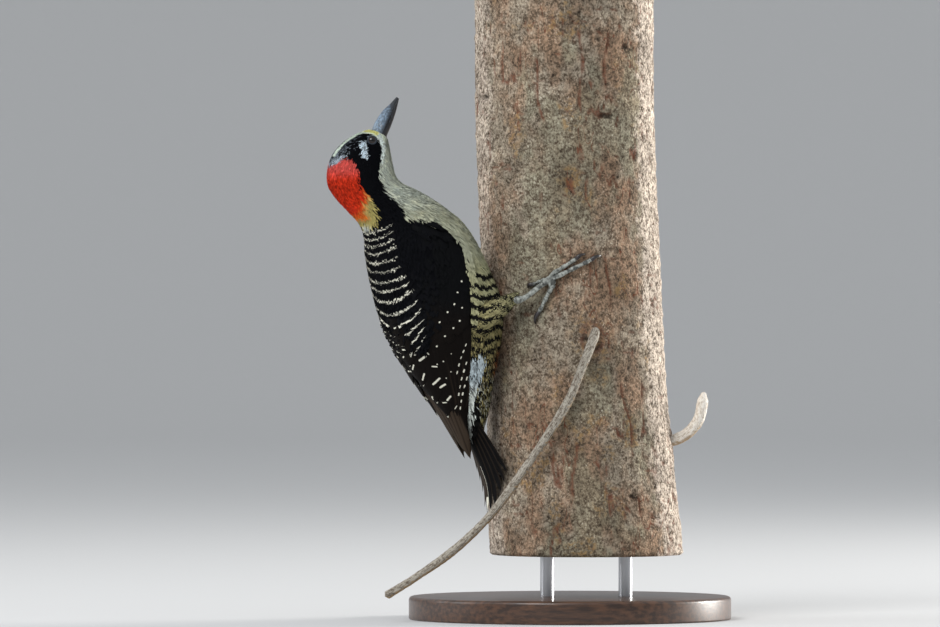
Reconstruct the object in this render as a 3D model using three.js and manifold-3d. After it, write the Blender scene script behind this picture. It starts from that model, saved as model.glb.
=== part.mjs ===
// A still, life-size museum model of a female Black-cheeked Woodpecker clinging to a cut length of trunk,
// which two short rods hold above a round display base. Millimetres, +Z up, origin at the middle of the
// base's underside. The viewer stands at -Y and sees the bird's right side and a little of its back.
//
// The bird has a frame of its own: u runs from its back towards its front, w to its right-hand side, and
// z up. The bird frame is the world frame turned BIRD_TURN about Z, so that u points at the trunk.
import * as THREE from "three";
import { ParametricGeometry } from "three/addons/geometries/ParametricGeometry.js";
import { mergeVertices } from "three/addons/utils/BufferGeometryUtils.js";
import Module from "manifold-3d";

const wasm = await Module();
wasm.setup();

// ---------------------------------------------------------------- driving dimensions

const GAP = 0.32; // clear space between neighbouring solids
const BIRD_TURN = THREE.MathUtils.degToRad(25);

const BASE_RADIUS = 70;
const BASE_THICKNESS = 10;
const BASE_CHAMFER = 1.5;
const ROD_RADIUS = 3;
const ROD_SPREAD = 17; // each rod's distance from the trunk's axis

const TRUNK_BOTTOM = 28;
const TRUNK_TOP = 274;
const TRUNK_RADIUS = 38.9;
const TRUNK_FLARE = 3.6; // what the radius gains towards the bottom
const TRUNK_LEAN = 9.1; // how far the axis wanders sideways from top to bottom
const TRUNK_TOP_AXIS = -2;

// The body from the bill's root to the tail's root. Each station has the point of the back outline and
// the point of the front outline [u, z], the half width, how far the bird's middle leans to its right
// there, and how square the front of the section is (2 is an ellipse).
const BODY_STATIONS = [
  { place: "bill root", back: [-95.2, 211.9], front: [-88.6, 208.2], half: 4.6, lean: 2, square: 2 },
  { place: "forehead", back: [-100.2, 210.5], front: [-88, 203.4], half: 8.2, lean: 2, square: 2 },
  { place: "eye", back: [-107, 206.9], front: [-87.1, 198.7], half: 10.8, lean: 2, square: 2 },
  { place: "ear", back: [-112.5, 201.4], front: [-86.1, 194.4], half: 12.3, lean: 2, square: 2 },
  { place: "nape", back: [-115.1, 194.5], front: [-84.7, 190.8], half: 13.3, lean: 2, square: 2 },
  { place: "throat", back: [-114.8, 187.4], front: [-81.5, 188.3], half: 14.3, lean: 2, square: 2 },
  { place: "neck", back: [-110.8, 181.7], front: [-75.8, 185.8], half: 16, lean: 2.2, square: 2.1 },
  { place: "collar", back: [-105.1, 176.3], front: [-69.3, 182.3], half: 18.2, lean: 2.5, square: 2.1 },
  { place: "shoulder", back: [-99.6, 170.8], front: [-62.4, 177.6], half: 20.2, lean: 2.8, square: 2.2 },
  { place: "upper breast", back: [-97.4, 165], front: [-56.2, 172.6], half: 21.6, lean: 3, square: 2.3 },
  { place: "breast", back: [-97, 158.5], front: [-50.4, 165], half: 22.6, lean: 3, square: 2.4 },
  { place: "lower breast", back: [-95.6, 150.3], front: [-45.4, 156], half: 23.3, lean: 3, square: 2.4 },
  { place: "upper belly", back: [-93.3, 140.6], front: [-41, 146.8], half: 23.4, lean: 3, square: 2.4 },
  { place: "belly", back: [-90.1, 130.3], front: [-37, 137], half: 22.6, lean: 3, square: 2.4 },
  { place: "lower belly", back: [-84.4, 120.8], front: [-36.9, 124.3], half: 20.8, lean: 2.8, square: 2.4 },
  { place: "flank", back: [-76.8, 111.6], front: [-38.6, 111.8], half: 18, lean: 2.4, square: 2.3 },
  { place: "vent", back: [-68.6, 101.9], front: [-39.9, 101.5], half: 14.6, lean: 1.8, square: 2.2 },
  { place: "rump", back: [-60.3, 93.3], front: [-40.6, 92.5], half: 11.4, lean: 1.2, square: 2.2 },
  { place: "tail root", back: [-53.4, 85.1], front: [-42.5, 85.1], half: 8.8, lean: 0.6, square: 2.2 },
  { place: "coverts' tips", back: [-48.2, 77.4], front: [-43.8, 77.4], half: 4.4, lean: 0.3, square: 2 },
];
const BODY_STEPS = 33;
const BODY_SIDES = 20;

// The body's nodes, each from one station number to another.
const BODY_PARTS = [
  { name: "head", from: 0, to: 4.6, colour: 0x2b2a2a },
  { name: "neck", from: 4.6, to: 7.5, colour: 0xb9532a },
  { name: "breast", from: 7.5, to: 10.6, colour: 0x9a9680 },
  { name: "belly", from: 10.6, to: 14.4, colour: 0x8f8a5e },
  { name: "rump", from: 14.4, to: 19, colour: 0xc9c8bd },
];

const BILL_TIP = [-83.2, 225.4];
const BILL_ROOT_DEPTH = 6.9;
const BILL_TIP_DEPTH = 1.6;
const BILL_ROOT_WIDTH = 8.2;
const BILL_TIP_WIDTH = 0.9;
const CULMEN_RISE = 1.2; // how far the culmen bulges above a straight line

const EYE_RADIUS = 2.5;
const EYE_SUNK = 1.6; // from the coat's surface down to the eye's centre
const EYE_STATION = 1.47;
const EYE_ANGLE = THREE.MathUtils.degToRad(63);

// A folded wing, from the shoulder to the tips. Each station has the point where its outline would meet
// the bird's midline [u, z], its lower edge [u, z], that edge's distance from the midline, the lean, and
// the share of the way round from midline to edge at which the wing comes out from under the mantle.
const WING_STATIONS = [
  { ridge: [-100, 173.6], edge: [-79, 174.2], half: 20.6, lean: 2.7, from: 0.78 },
  { ridge: [-98.8, 168.5], edge: [-72, 168.5], half: 23.2, lean: 2.9, from: 0.69 },
  { ridge: [-97.4, 160.5], edge: [-65.4, 160], half: 24.4, lean: 3, from: 0.64 },
  { ridge: [-94.2, 144], edge: [-62, 143], half: 25, lean: 3, from: 0.63 },
  { ridge: [-89.4, 129.5], edge: [-60.8, 129.5], half: 24, lean: 3, from: 0.56 },
  { ridge: [-85, 120.5], edge: [-59.6, 120], half: 22, lean: 2.8, from: 0.3 },
  { ridge: [-80, 112], edge: [-58, 110], half: 18.4, lean: 2.4, from: 0.025 },
  { ridge: [-72.8, 101.5], edge: [-56.4, 98], half: 13.8, lean: 1.9, from: 0.025 },
  { ridge: [-64.6, 91], edge: [-54.8, 87.5], half: 9.4, lean: 1.2, from: 0.035 },
  { ridge: [-57.3, 80.4], edge: [-52.2, 78.5], half: 6.6, lean: 0.8, from: 0.06 },
  { ridge: [-51.4, 71.6], edge: [-49.4, 71.4], half: 3.8, lean: 0.5, from: 0.15 },
];
const WING_THICKNESS = 2.6;
const WING_TIP_THICKNESS = 1.1;
const WING_STEPS = 16;
const WING_STEPS_ACROSS = 5;
const WING_PARTS = [
  { name: "coverts", from: 0, to: 3.6, colour: 0x17181c },
  { name: "secondaries", from: 3.6, to: 7.2, colour: 0x1c1a19 },
  { name: "primaries", from: 7.2, to: 10, colour: 0x4a3c31 },
];

// The tail's ridge along the back [u, z], from under the coverts to its tip, which is braced on the bark.
const TAIL_RIDGE = [
  [-60, 98.5],
  [-53, 85.1],
  [-45.8, 71.8],
  [-40.2, 58.8],
  [-39, 46],
];
const TAIL_THICKNESS = 0.9;
const TAIL_TIP_SLOPE = 0.06; // how steeply the tail falls away from its ridge at the tip
const TAIL_ROOF = 0.48; // and what the root adds to that
const TAIL_LAYER = 0.3; // each outer feather lies this much deeper than its inner neighbour
// Tail feathers from the middle out: where each ends along the ridge, its middle's distance from the
// ridge at its root and its tip, and its half width.
const TAIL_FEATHERS = [
  { end: 1, root: 1.4, tip: 1.8, half: 2.8 },
  { end: 0.94, root: 2.4, tip: 5.4, half: 3.1 },
  { end: 0.82, root: 3.2, tip: 9.2, half: 3.2 },
  { end: 0.73, root: 4, tip: 12.6, half: 3.2 },
  { end: 0.65, root: 4.8, tip: 15.4, half: 2.9 },
];

// A leg. Bird-frame points [u, w from the midline, z] down the feathered thigh, with its radii, and the
// foot on the bark: azimuth round the trunk from the bird's own midline in degrees, and height.
const THIGH_LINE = [
  [-66, 14.5, 126],
  [-56, 18.5, 129.5],
  [-46.5, 21.3, 134.5],
  [-38, 21.8, 139.4],
];
const THIGH_RADII = [7.2, 7.8, 5.2, 2.3];
const ANKLE = [-35.4, 25, 139.3];
const SHANK_RADIUS = 1.3;
const FOOT_PAD_RADIUS = 1.8;
const FOOT = { around: 46.8, height: 147.3, lift: 2.5 };
// Toes: where each leaves the foot and where its claw begins, as [azimuth off the midline, height].
const TOES = [
  { name: "toe_inner", from: [47.5, 149], to: [64.6, 156.6], radius: 1.05, claw: 4.6 },
  { name: "toe_middle", from: [49.5, 147.8], to: [74, 156.1], radius: 1.1, claw: 5.2 },
  { name: "toe_outer", from: [50.5, 145.2], to: [38.5, 132.6], radius: 1.05, claw: 5.6 },
  { name: "toe_hind", from: [44.3, 147.4], to: [34.6, 145], radius: 0.85, claw: 3.2 },
];
const MIDLINE_AZIMUTH = 209.2; // where on the trunk the bird's own midline falls, in degrees

const TWIG_RADIUS = 2.7;
const TWIG_END_RADIUS = 1.9;
const TWIG_LINE = [
  [11, -33, 127.5],
  [9.6, -39.6, 122],
  [5.4, -43.4, 111.3],
  [-1.1, -44.4, 95.4],
  [-9.5, -44.4, 81.4],
  [-23.5, -44.2, 60.9],
  [-35.7, -43.8, 45],
  [-50.5, -43.2, 31],
  [-66.5, -42.6, 19.6],
  [-79, -42.2, 11.8],
];
const STUB_RADIUS = 2.5;
const STUB_LINE = [
  [36, 1, 78],
  [43.5, 0.5, 77.4],
  [50.6, 0, 80.4],
  [56, -0.5, 87],
  [58.2, -0.5, 98],
];

// ---------------------------------------------------------------- helpers

const { lerp, clamp, smoothstep, degToRad } = THREE.MathUtils;
const TURN = 2 * Math.PI;
const CUTTER_SIZE = 400;

function paint(colour, roughness = 0.85, metalness = 0) {
  return new THREE.MeshStandardMaterial({ color: colour, roughness, metalness });
}

// A smooth line through points, whose parameter runs evenly from point to point.
function line(points) {
  return new THREE.CatmullRomCurve3(
    points.map((p) => new THREE.Vector3(...p)),
    false,
    "catmullrom",
    0.5,
  );
}

// Bird-frame coordinates as a vector of the bird group, whose Y axis points to the bird's left.
function birdPoint(u, w, z) {
  return new THREE.Vector3(u, -w, z);
}

// A closed surface whose cross-sections are ring(t, j, fill) for corner j of `sides` corners. fill is 1 on
// the sections and 0 at the two ends, where the section shrinks to its own middle and closes the surface.
function closedLoft(ring, steps, sides) {
  const rows = steps + 2;
  return new ParametricGeometry(
    (around, along, target) => {
      const row = Math.round(along * rows);
      const corner = Math.round(around * sides) % sides;
      const fill = row === 0 || row === rows ? 0 : 1;
      target.copy(ring(clamp((row - 1) / steps, 0, 1), corner, fill));
    },
    sides,
    rows,
  );
}

// A round or oval bar: section(t) gives its centre and two half-axis vectors.
function bar(section, steps, sides) {
  return closedLoft(
    (t, corner, fill) => {
      const { centre, a, b } = section(t);
      const angle = (corner / sides) * TURN;
      return centre
        .clone()
        .addScaledVector(a, fill * Math.cos(angle))
        .addScaledVector(b, fill * Math.sin(angle));
    },
    steps,
    sides,
  );
}

// A round bar along a curve, with a radius that varies along it.
function roundBar(curve, radius, steps, sides) {
  const frames = curve.computeFrenetFrames(steps, false);
  return bar(
    (t) => {
      const k = Math.round(t * steps);
      return {
        centre: curve.getPointAt(t),
        a: frames.normals[k].clone().multiplyScalar(radius(t)),
        b: frames.binormals[k].clone().multiplyScalar(radius(t)),
      };
    },
    steps,
    sides,
  );
}

// A curved sheet: face(t, v, depth) is the point at t along and v across, depth below the outer face.
function sheet(face, thickness, steps, stepsAcross) {
  const corners = 2 * (stepsAcross + 1);
  return closedLoft(
    (t, corner, fill) => {
      const outer = corner <= stepsAcross;
      const v = (outer ? corner : corners - 1 - corner) / stepsAcross;
      const whole = thickness(t, v);
      const depth = outer ? (whole / 2) * (1 - fill) : (whole / 2) * (1 + fill);
      return face(t, v, depth);
    },
    steps,
    corners,
  );
}

// A closed geometry as a manifold-3d solid, turned the right way out.
function solid(geometry) {
  const bare = geometry.clone();
  bare.deleteAttribute("normal");
  bare.deleteAttribute("uv");
  const merged = mergeVertices(bare, 1e-4);
  const index = merged.index.array;
  const triangles = [];
  for (let i = 0; i < index.length; i += 3) {
    const [a, b, c] = index.slice(i, i + 3);
    if (a !== b && b !== c && c !== a) triangles.push(a, b, c);
  }
  const vertProperties = merged.attributes.position.array;
  const build = (triVerts) => new wasm.Manifold(new wasm.Mesh({ numProp: 3, vertProperties, triVerts }));
  const made = build(new Uint32Array(triangles));
  return made.volume() > 0 ? made : build(new Uint32Array(triangles).reverse());
}

function meshOf(name, manifold, material) {
  const { vertProperties, triVerts } = manifold.getMesh();
  const geometry = new THREE.BufferGeometry();
  geometry.setAttribute("position", new THREE.BufferAttribute(vertProperties, 3));
  geometry.setIndex(new THREE.BufferAttribute(triVerts, 1));
  geometry.computeVertexNormals();
  const mesh = new THREE.Mesh(geometry, material);
  mesh.name = name;
  return mesh;
}

// The largest body of a solid, without the crumbs that a cut can leave.
function mainBody(manifold) {
  return manifold.decompose().sort((a, b) => b.volume() - a.volume())[0];
}

// A big block with one face through `point`, reaching away from it along `direction`.
function blockBeyond(point, direction, side) {
  const along = direction.clone().normalize();
  const across = new THREE.Vector3().crossVectors(side, along).normalize();
  const upright = new THREE.Vector3().crossVectors(along, across);
  const place = new THREE.Matrix4().makeBasis(across, upright, along).setPosition(point);
  const block = new THREE.BoxGeometry(CUTTER_SIZE, CUTTER_SIZE, CUTTER_SIZE);
  return solid(block.translate(0, 0, CUTTER_SIZE / 2).applyMatrix4(place));
}

function superellipse(value, square) {
  return Math.sign(value) * Math.abs(value) ** (2 / square);
}

// ---------------------------------------------------------------- the perch and its stand

function trunkAxisX(z) {
  const drop = (TRUNK_TOP - z) / (TRUNK_TOP - TRUNK_BOTTOM);
  return TRUNK_TOP_AXIS + TRUNK_LEAN * drop * drop;
}

// The trunk's radius: nearly round, with low swellings and a flare towards the ground.
function trunkRadius(azimuth, z) {
  const flare = TRUNK_FLARE * (1 - smoothstep(z, 10, 120));
  const swell = 0.45 * Math.sin(3 * azimuth + 0.021 * z) + 0.3 * Math.sin(5 * azimuth - 0.037 * z + 1);
  return TRUNK_RADIUS + flare + swell;
}

function trunkPoint(azimuth, z, lift) {
  const radius = trunkRadius(azimuth, z) + lift;
  return new THREE.Vector3(trunkAxisX(z) + radius * Math.cos(azimuth), radius * Math.sin(azimuth), z);
}

function trunkSolid(grow) {
  const sides = 24;
  return solid(
    closedLoft(
      (t, corner, fill) => {
        const z = lerp(TRUNK_BOTTOM - grow, TRUNK_TOP + grow, t);
        const centre = new THREE.Vector3(trunkAxisX(z), 0, z);
        return centre.lerp(trunkPoint((corner / sides) * TURN, z, grow), fill);
      },
      12,
      sides,
    ),
  );
}

const trunk = trunkSolid(0);
const trunkRoom = trunkSolid(GAP);

function makeStand() {
  const group = new THREE.Group();
  const wood = paint(0x3a2a20, 0.45);
  const steel = paint(0xb9bcc0, 0.3, 1);
  const profile = [
    [0, 0],
    [BASE_RADIUS - BASE_CHAMFER / 2, 0],
    [BASE_RADIUS, BASE_CHAMFER / 2],
    [BASE_RADIUS, BASE_THICKNESS - BASE_CHAMFER],
    [BASE_RADIUS - BASE_CHAMFER, BASE_THICKNESS],
    [0, BASE_THICKNESS],
  ].map((p) => new THREE.Vector2(...p));
  const base = new THREE.LatheGeometry(profile, 40).rotateX(Math.PI / 2);
  group.add(meshOf("stand_base", solid(base), wood));

  const rodLength = TRUNK_BOTTOM - BASE_THICKNESS - 2 * GAP;
  for (const [side, sign] of [["left", -1], ["right", 1]]) {
    const rod = new THREE.CylinderGeometry(ROD_RADIUS, ROD_RADIUS, rodLength, 12).rotateX(Math.PI / 2);
    rod.translate(trunkAxisX(TRUNK_BOTTOM) + sign * ROD_SPREAD, 0, BASE_THICKNESS + GAP + rodLength / 2);
    group.add(meshOf("stand_rod_" + side, solid(rod), steel));
  }
  return group;
}

function makePerch() {
  const group = new THREE.Group();
  const bark = paint(0x7d7161, 0.95);
  const deadWood = paint(0x8d8880, 0.9);
  group.add(meshOf("perch_trunk", trunk, bark));
  const twigRadius = (t) => lerp(TWIG_RADIUS, TWIG_END_RADIUS, t) + 0.12 * Math.sin(26 * t);
  const twig = solid(roundBar(line(TWIG_LINE), twigRadius, 14, 7));
  group.add(meshOf("perch_twig", mainBody(twig.subtract(trunkRoom)), deadWood));
  const stubRadius = (t) => STUB_RADIUS * (1 - 0.5 * smoothstep(t, 0.88, 1) ** 1.5);
  const stub = solid(roundBar(line(STUB_LINE), stubRadius, 9, 8));
  group.add(meshOf("perch_stub", mainBody(stub.subtract(trunkRoom)), deadWood));
  return group;
}

// ---------------------------------------------------------------- the body

const LAST_STATION = BODY_STATIONS.length - 1;
const backLine = line(BODY_STATIONS.map(({ back: [u, z] }) => [u, 0, z]));
const frontLine = line(BODY_STATIONS.map(({ front: [u, z] }) => [u, 0, z]));
const girthLine = line(BODY_STATIONS.map(({ half, lean, square }) => [half, lean, square]));

// The body's section at a station number: its middle, the half vector from there to the back, the half
// width, the lean and the squareness of its front.
function bodySection(station) {
  const t = station / LAST_STATION;
  const back = backLine.getPoint(t);
  const front = frontLine.getPoint(t);
  const girth = girthLine.getPoint(t);
  const middle = back.clone().add(front).multiplyScalar(0.5);
  const toBack = back.clone().sub(middle);
  return { middle, toBack, half: girth.x, lean: girth.y, square: girth.z };
}

// A point of the coat's outer surface. The angle is 0 at the back's midline and grows to the bird's right.
function bodyPoint(station, angle, fill = 1) {
  const { middle, toBack, half, lean, square } = bodySection(station);
  const n = Math.cos(angle) > 0 ? 2 : square;
  const depth = fill * superellipse(Math.cos(angle), n);
  const width = fill * superellipse(Math.sin(angle), n) * half;
  const p = middle.clone().addScaledVector(toBack, depth);
  return birdPoint(p.x, lean + width, p.z);
}

function bodySolid() {
  return solid(
    closedLoft(
      (t, corner, fill) => bodyPoint(t * LAST_STATION, (corner / BODY_SIDES) * TURN, fill),
      BODY_STEPS,
      BODY_SIDES,
    ),
  );
}

// The block past the body's section plane at a station, towards the tail (sign 1) or the bill (sign -1).
function bodyBlock(station, sign) {
  const { middle, toBack, lean } = bodySection(station);
  const side = birdPoint(0, 1, 0);
  const tailward = new THREE.Vector3().crossVectors(toBack, side).normalize();
  const downhill = tailward.z > 0 ? tailward.negate() : tailward;
  const direction = downhill.multiplyScalar(sign);
  const point = birdPoint(middle.x, lean, middle.z).addScaledVector(direction, -GAP / 2);
  return blockBeyond(point, direction, side);
}

function cutAlongBody(manifold, { from, to }) {
  let part = manifold;
  if (from > 0) part = part.subtract(bodyBlock(from, -1));
  if (to < LAST_STATION) part = part.subtract(bodyBlock(to, 1));
  return mainBody(part);
}

// ---------------------------------------------------------------- eyes and bill

function eyeCentre(sign) {
  const surface = bodyPoint(EYE_STATION, sign * EYE_ANGLE);
  const { middle, lean } = bodySection(EYE_STATION);
  const inward = birdPoint(middle.x, lean, middle.z).sub(surface).normalize();
  return surface.addScaledVector(inward, EYE_SUNK);
}

function eyeBall(sign, grow) {
  const centre = eyeCentre(sign);
  const ball = new THREE.SphereGeometry(EYE_RADIUS + grow, 12, 8);
  return solid(ball.translate(centre.x, centre.y, centre.z));
}

// The bill tapers from an oval root to a chisel tip, higher than it is wide.
function makeBill() {
  const { middle, toBack, lean } = bodySection(0);
  const root = birdPoint(middle.x, lean, middle.z);
  const tip = birdPoint(BILL_TIP[0], lean, BILL_TIP[1]);
  const axis = tip.clone().sub(root).normalize();
  const side = birdPoint(0, 1, 0);
  const culmenward = new THREE.Vector3().crossVectors(side, axis).normalize();
  if (culmenward.dot(toBack) < 0) culmenward.negate();
  root.addScaledVector(axis, GAP);
  const shape = solid(
    bar(
      (t) => {
        const rise = CULMEN_RISE * Math.sin(Math.PI * t ** 0.8);
        const depth = lerp(BILL_ROOT_DEPTH, BILL_TIP_DEPTH, t) + rise;
        const width = lerp(BILL_ROOT_WIDTH, BILL_TIP_WIDTH, 1.16 * t - 0.16 * t * t);
        return {
          centre: root.clone().lerp(tip, t).addScaledVector(culmenward, rise / 2),
          a: culmenward.clone().multiplyScalar(depth / 2),
          b: side.clone().multiplyScalar(width / 2),
        };
      },
      8,
      12,
    ),
  );
  const gape = root.clone().addScaledVector(culmenward, -0.35);
  const above = gape.clone().addScaledVector(culmenward, GAP / 2);
  const below = gape.clone().addScaledVector(culmenward, -GAP / 2);
  const upper = shape.intersect(blockBeyond(above, culmenward, side));
  const lower = shape.intersect(blockBeyond(below, culmenward.clone().negate(), side));
  const group = new THREE.Group();
  group.add(meshOf("bill_upper", mainBody(upper), paint(0x3b3f46, 0.4)));
  group.add(meshOf("bill_lower", mainBody(lower), paint(0x2d2f34, 0.4)));
  return group;
}

// ---------------------------------------------------------------- wings

const LAST_WING_STATION = WING_STATIONS.length - 1;
const ridgeLine = line(WING_STATIONS.map(({ ridge: [u, z] }) => [u, 0, z]));
const edgeLine = line(WING_STATIONS.map(({ edge: [u, z] }) => [u, 0, z]));
const spanLine = line(WING_STATIONS.map(({ half, lean, from }) => [half, lean, from]));

// A point of a folded wing: a quarter ellipse from the ridge on the midline (v = 0) round to the lower
// edge (v = 1), about the point of the midline plane that is level with the edge.
function wingPoint(t, v, depth, sign) {
  const ridge = ridgeLine.getPoint(t);
  const edge = edgeLine.getPoint(t);
  const span = spanLine.getPoint(t);
  const angle = (v * Math.PI) / 2;
  const inner = ridge.clone().sub(edge).multiplyScalar(Math.cos(angle));
  const width = span.x * Math.sin(angle);
  const reach = Math.hypot(inner.length(), width);
  const shrink = (reach - depth) / reach;
  const p = edge.clone().addScaledVector(inner, shrink);
  return birdPoint(p.x, span.y + sign * width * shrink, p.z);
}

function wingStart(t) {
  return clamp(spanLine.getPoint(t).z, 0.02, 1);
}

function wingThickness(t, v) {
  const whole = lerp(WING_THICKNESS, WING_TIP_THICKNESS, t ** 1.5);
  return whole * (0.5 + 0.5 * Math.sin(Math.PI * v));
}

function wingSolid(sign) {
  const face = (t, v, depth) => wingPoint(t, lerp(wingStart(t), 1, v), depth, sign);
  return solid(sheet(face, wingThickness, WING_STEPS, WING_STEPS_ACROSS));
}

// The room that a wing needs in the coat: its own space, the gap round it and all that lies outside it.
function wingRoom(sign) {
  const margin = 0.015;
  const face = (t, v, depth) => {
    const past = lerp(-margin, 1 + margin, t);
    const along = clamp(past, 0, 1);
    const p = wingPoint(along, lerp(wingStart(along) - margin, 1 + margin, v), depth - 9, sign);
    return p.add(new THREE.Vector3(0, 0, along === past ? 0 : Math.sign(0.5 - t) * GAP));
  };
  const thickness = (t, v) => wingThickness(t, v) + 9 + GAP;
  return solid(sheet(face, thickness, WING_STEPS, WING_STEPS_ACROSS));
}

// The block past a wing's section at a station, towards the tip (sign 1) or the shoulder (sign -1).
function wingBlock(station, sign) {
  const t = station / LAST_WING_STATION;
  const ridge = ridgeLine.getPoint(t);
  const edge = edgeLine.getPoint(t);
  const side = birdPoint(0, 1, 0);
  const across = new THREE.Vector3().crossVectors(edge.clone().sub(ridge), side).normalize();
  const downhill = across.z > 0 ? across.negate() : across;
  const direction = downhill.multiplyScalar(sign);
  const point = edge.clone().addScaledVector(direction, -GAP / 2);
  return blockBeyond(point, direction, side);
}

function makeWing(sideName, sign) {
  const group = new THREE.Group();
  const whole = wingSolid(sign).subtract(trunkRoomForBird);
  for (const { name, from, to, colour } of WING_PARTS) {
    let part = whole;
    if (from > 0) part = part.subtract(wingBlock(from, -1));
    if (to < LAST_WING_STATION) part = part.subtract(wingBlock(to, 1));
    group.add(meshOf("wing_" + sideName + "_" + name, mainBody(part), paint(colour)));
  }
  return group;
}

// ---------------------------------------------------------------- tail

const tailLine = line(TAIL_RIDGE.map(([u, z]) => [u, 0, z]));

// The tail's upper face: a roof on both sides of the ridge, steep at the root and nearly flat on the bark.
function tailPoint(t, w, depth) {
  const ridge = tailLine.getPoint(t);
  const slope = TAIL_TIP_SLOPE + TAIL_ROOF * (1 - t) ** 0.9;
  const roof = slope * (Math.hypot(w, 2) - 2);
  return birdPoint(ridge.x + roof + depth, w, ridge.z);
}

// One tail feather: parallel sides that draw in to a point.
function tailFeather(order, sign, grow) {
  const { end, root, tip, half } = TAIL_FEATHERS[order];
  const face = (t, v, depth) => {
    const along = Math.min(1, t * (end + 0.01 * grow));
    const taper = Math.sqrt(1 - Math.max(0, t - 0.62) / 0.385);
    const middle = lerp(root, tip, t ** 1.5);
    const w = middle + (2 * v - 1) * (half * taper + grow);
    return tailPoint(along, sign * w, depth + order * TAIL_LAYER - grow);
  };
  return solid(sheet(face, () => TAIL_THICKNESS + 2 * grow, 7, 1));
}

function makeTail(coat) {
  const group = new THREE.Group();
  const black = paint(0x15151a, 0.7);
  const clear = (manifold) => mainBody(manifold.subtract(coat).subtract(trunkRoomForBird));
  const centre = tailFeather(0, 1, 0).add(tailFeather(0, -1, 0));
  const centreRoom = tailFeather(0, 1, GAP).add(tailFeather(0, -1, GAP));
  group.add(meshOf("tail_centre", clear(centre), black));
  for (const [sideName, sign] of [["right", 1], ["left", -1]]) {
    let fan = tailFeather(1, sign, 0);
    for (let order = 2; order < TAIL_FEATHERS.length; order += 1) fan = fan.add(tailFeather(order, sign, 0));
    group.add(meshOf("tail_" + sideName, clear(fan.subtract(centreRoom)), black));
  }
  return group;
}

// ---------------------------------------------------------------- legs and feet

function legLean() {
  return bodySection(13).lean;
}

function thighLine(sign) {
  return line(THIGH_LINE.map(([u, w, z]) => birdPoint(u, legLean() + sign * w, z).toArray()));
}

function thighSolid(sign, grow) {
  const radii = line(THIGH_RADII.map((r) => [r, 0, 0]));
  return solid(roundBar(thighLine(sign), (t) => radii.getPoint(t).x + grow, 7, 9));
}

// A point on the bark as the bird group sees it, from its azimuth round the trunk off the bird's midline.
function barkPoint(around, height, lift) {
  const azimuth = degToRad(MIDLINE_AZIMUTH + around);
  return trunkPoint(azimuth, height, lift).applyAxisAngle(new THREE.Vector3(0, 0, 1), -BIRD_TURN);
}

// The bare shank from the thigh's end to the foot, with the foot's pad at its end.
function shankSolid(sign, grow) {
  const start = thighLine(sign).getPoint(1);
  const ankle = birdPoint(ANKLE[0], legLean() + sign * ANKLE[1], ANKLE[2]);
  const foot = barkPoint(sign * FOOT.around, FOOT.height, FOOT.lift);
  const shank = line([start, ankle, ankle.clone().lerp(foot, 0.55), foot].map((p) => p.toArray()));
  const radius = (t) => SHANK_RADIUS + grow + 0.3 * Math.abs(2 * t - 1) ** 3;
  const pad = new THREE.SphereGeometry(FOOT_PAD_RADIUS + grow, 8, 6).translate(foot.x, foot.y, foot.z);
  return solid(roundBar(shank, radius, 5, 7)).add(solid(pad));
}

function toeCurve({ from, to, radius }, sign) {
  const points = [0, 0.33, 0.67, 1].map((t) => {
    const lift = radius + GAP + 0.1 + (FOOT.lift - radius - GAP) * (1 - t) ** 2;
    return barkPoint(sign * lerp(from[0], to[0], t), lerp(from[1], to[1], t), lift).toArray();
  });
  return line(points);
}

function toeSolid(toe, sign, grow) {
  const radius = (t) => grow + toe.radius * lerp(1.15, 0.8, t) + 0.08 * Math.cos(TURN * 3 * t);
  return solid(roundBar(toeCurve(toe, sign), radius, 6, 6));
}

// A hooked claw that goes on from the toe and bends down to the bark.
function clawSolid(toe, sign) {
  const curve = toeCurve(toe, sign);
  const start = curve.getPoint(1);
  const ahead = curve.getTangent(1);
  const [around, height] = toe.to;
  const out = barkPoint(sign * around, height, 1).sub(barkPoint(sign * around, height, 0));
  const points = [0, 0.35, 0.7, 1].map((t) => {
    const rise = 0.9 * Math.sin(Math.PI * 0.8 * t) - 0.95 * t * t;
    return start
      .clone()
      .addScaledVector(ahead, GAP + t * toe.claw * (1 - 0.15 * t))
      .addScaledVector(out, rise)
      .toArray();
  });
  return solid(roundBar(line(points), (t) => lerp(0.72, 0.25, t), 4, 5));
}

function makeLeg(sideName, sign, coat) {
  const group = new THREE.Group();
  const feather = paint(0x77745c, 0.9);
  const skin = paint(0x6c7076, 0.6);
  const horn = paint(0x33312f, 0.4);
  const clear = (manifold) => mainBody(manifold.subtract(trunkRoomForBird));
  const thigh = thighSolid(sign, 0).subtract(wingRoom(sign));
  group.add(meshOf("thigh_" + sideName, clear(thigh), feather));
  const shank = shankSolid(sign, 0).subtract(thighSolid(sign, GAP)).subtract(coat);
  group.add(meshOf("shank_" + sideName, clear(shank), skin));
  let taken = shankSolid(sign, GAP);
  for (const toe of TOES) {
    const free = toeSolid(toe, sign, 0).subtract(taken);
    group.add(meshOf(toe.name + "_" + sideName, clear(free), skin));
    taken = taken.add(toeSolid(toe, sign, GAP));
    const claw = clawSolid(toe, sign).subtract(toeSolid(toe, sign, GAP / 2));
    group.add(meshOf(toe.name.replace("toe", "claw") + "_" + sideName, clear(claw), horn));
  }
  return group;
}

// ---------------------------------------------------------------- the whole bird

const turnBack = new THREE.Matrix4().makeRotationZ(-BIRD_TURN);
const trunkRoomForBird = trunkRoom.transform(turnBack.toArray());

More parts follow.
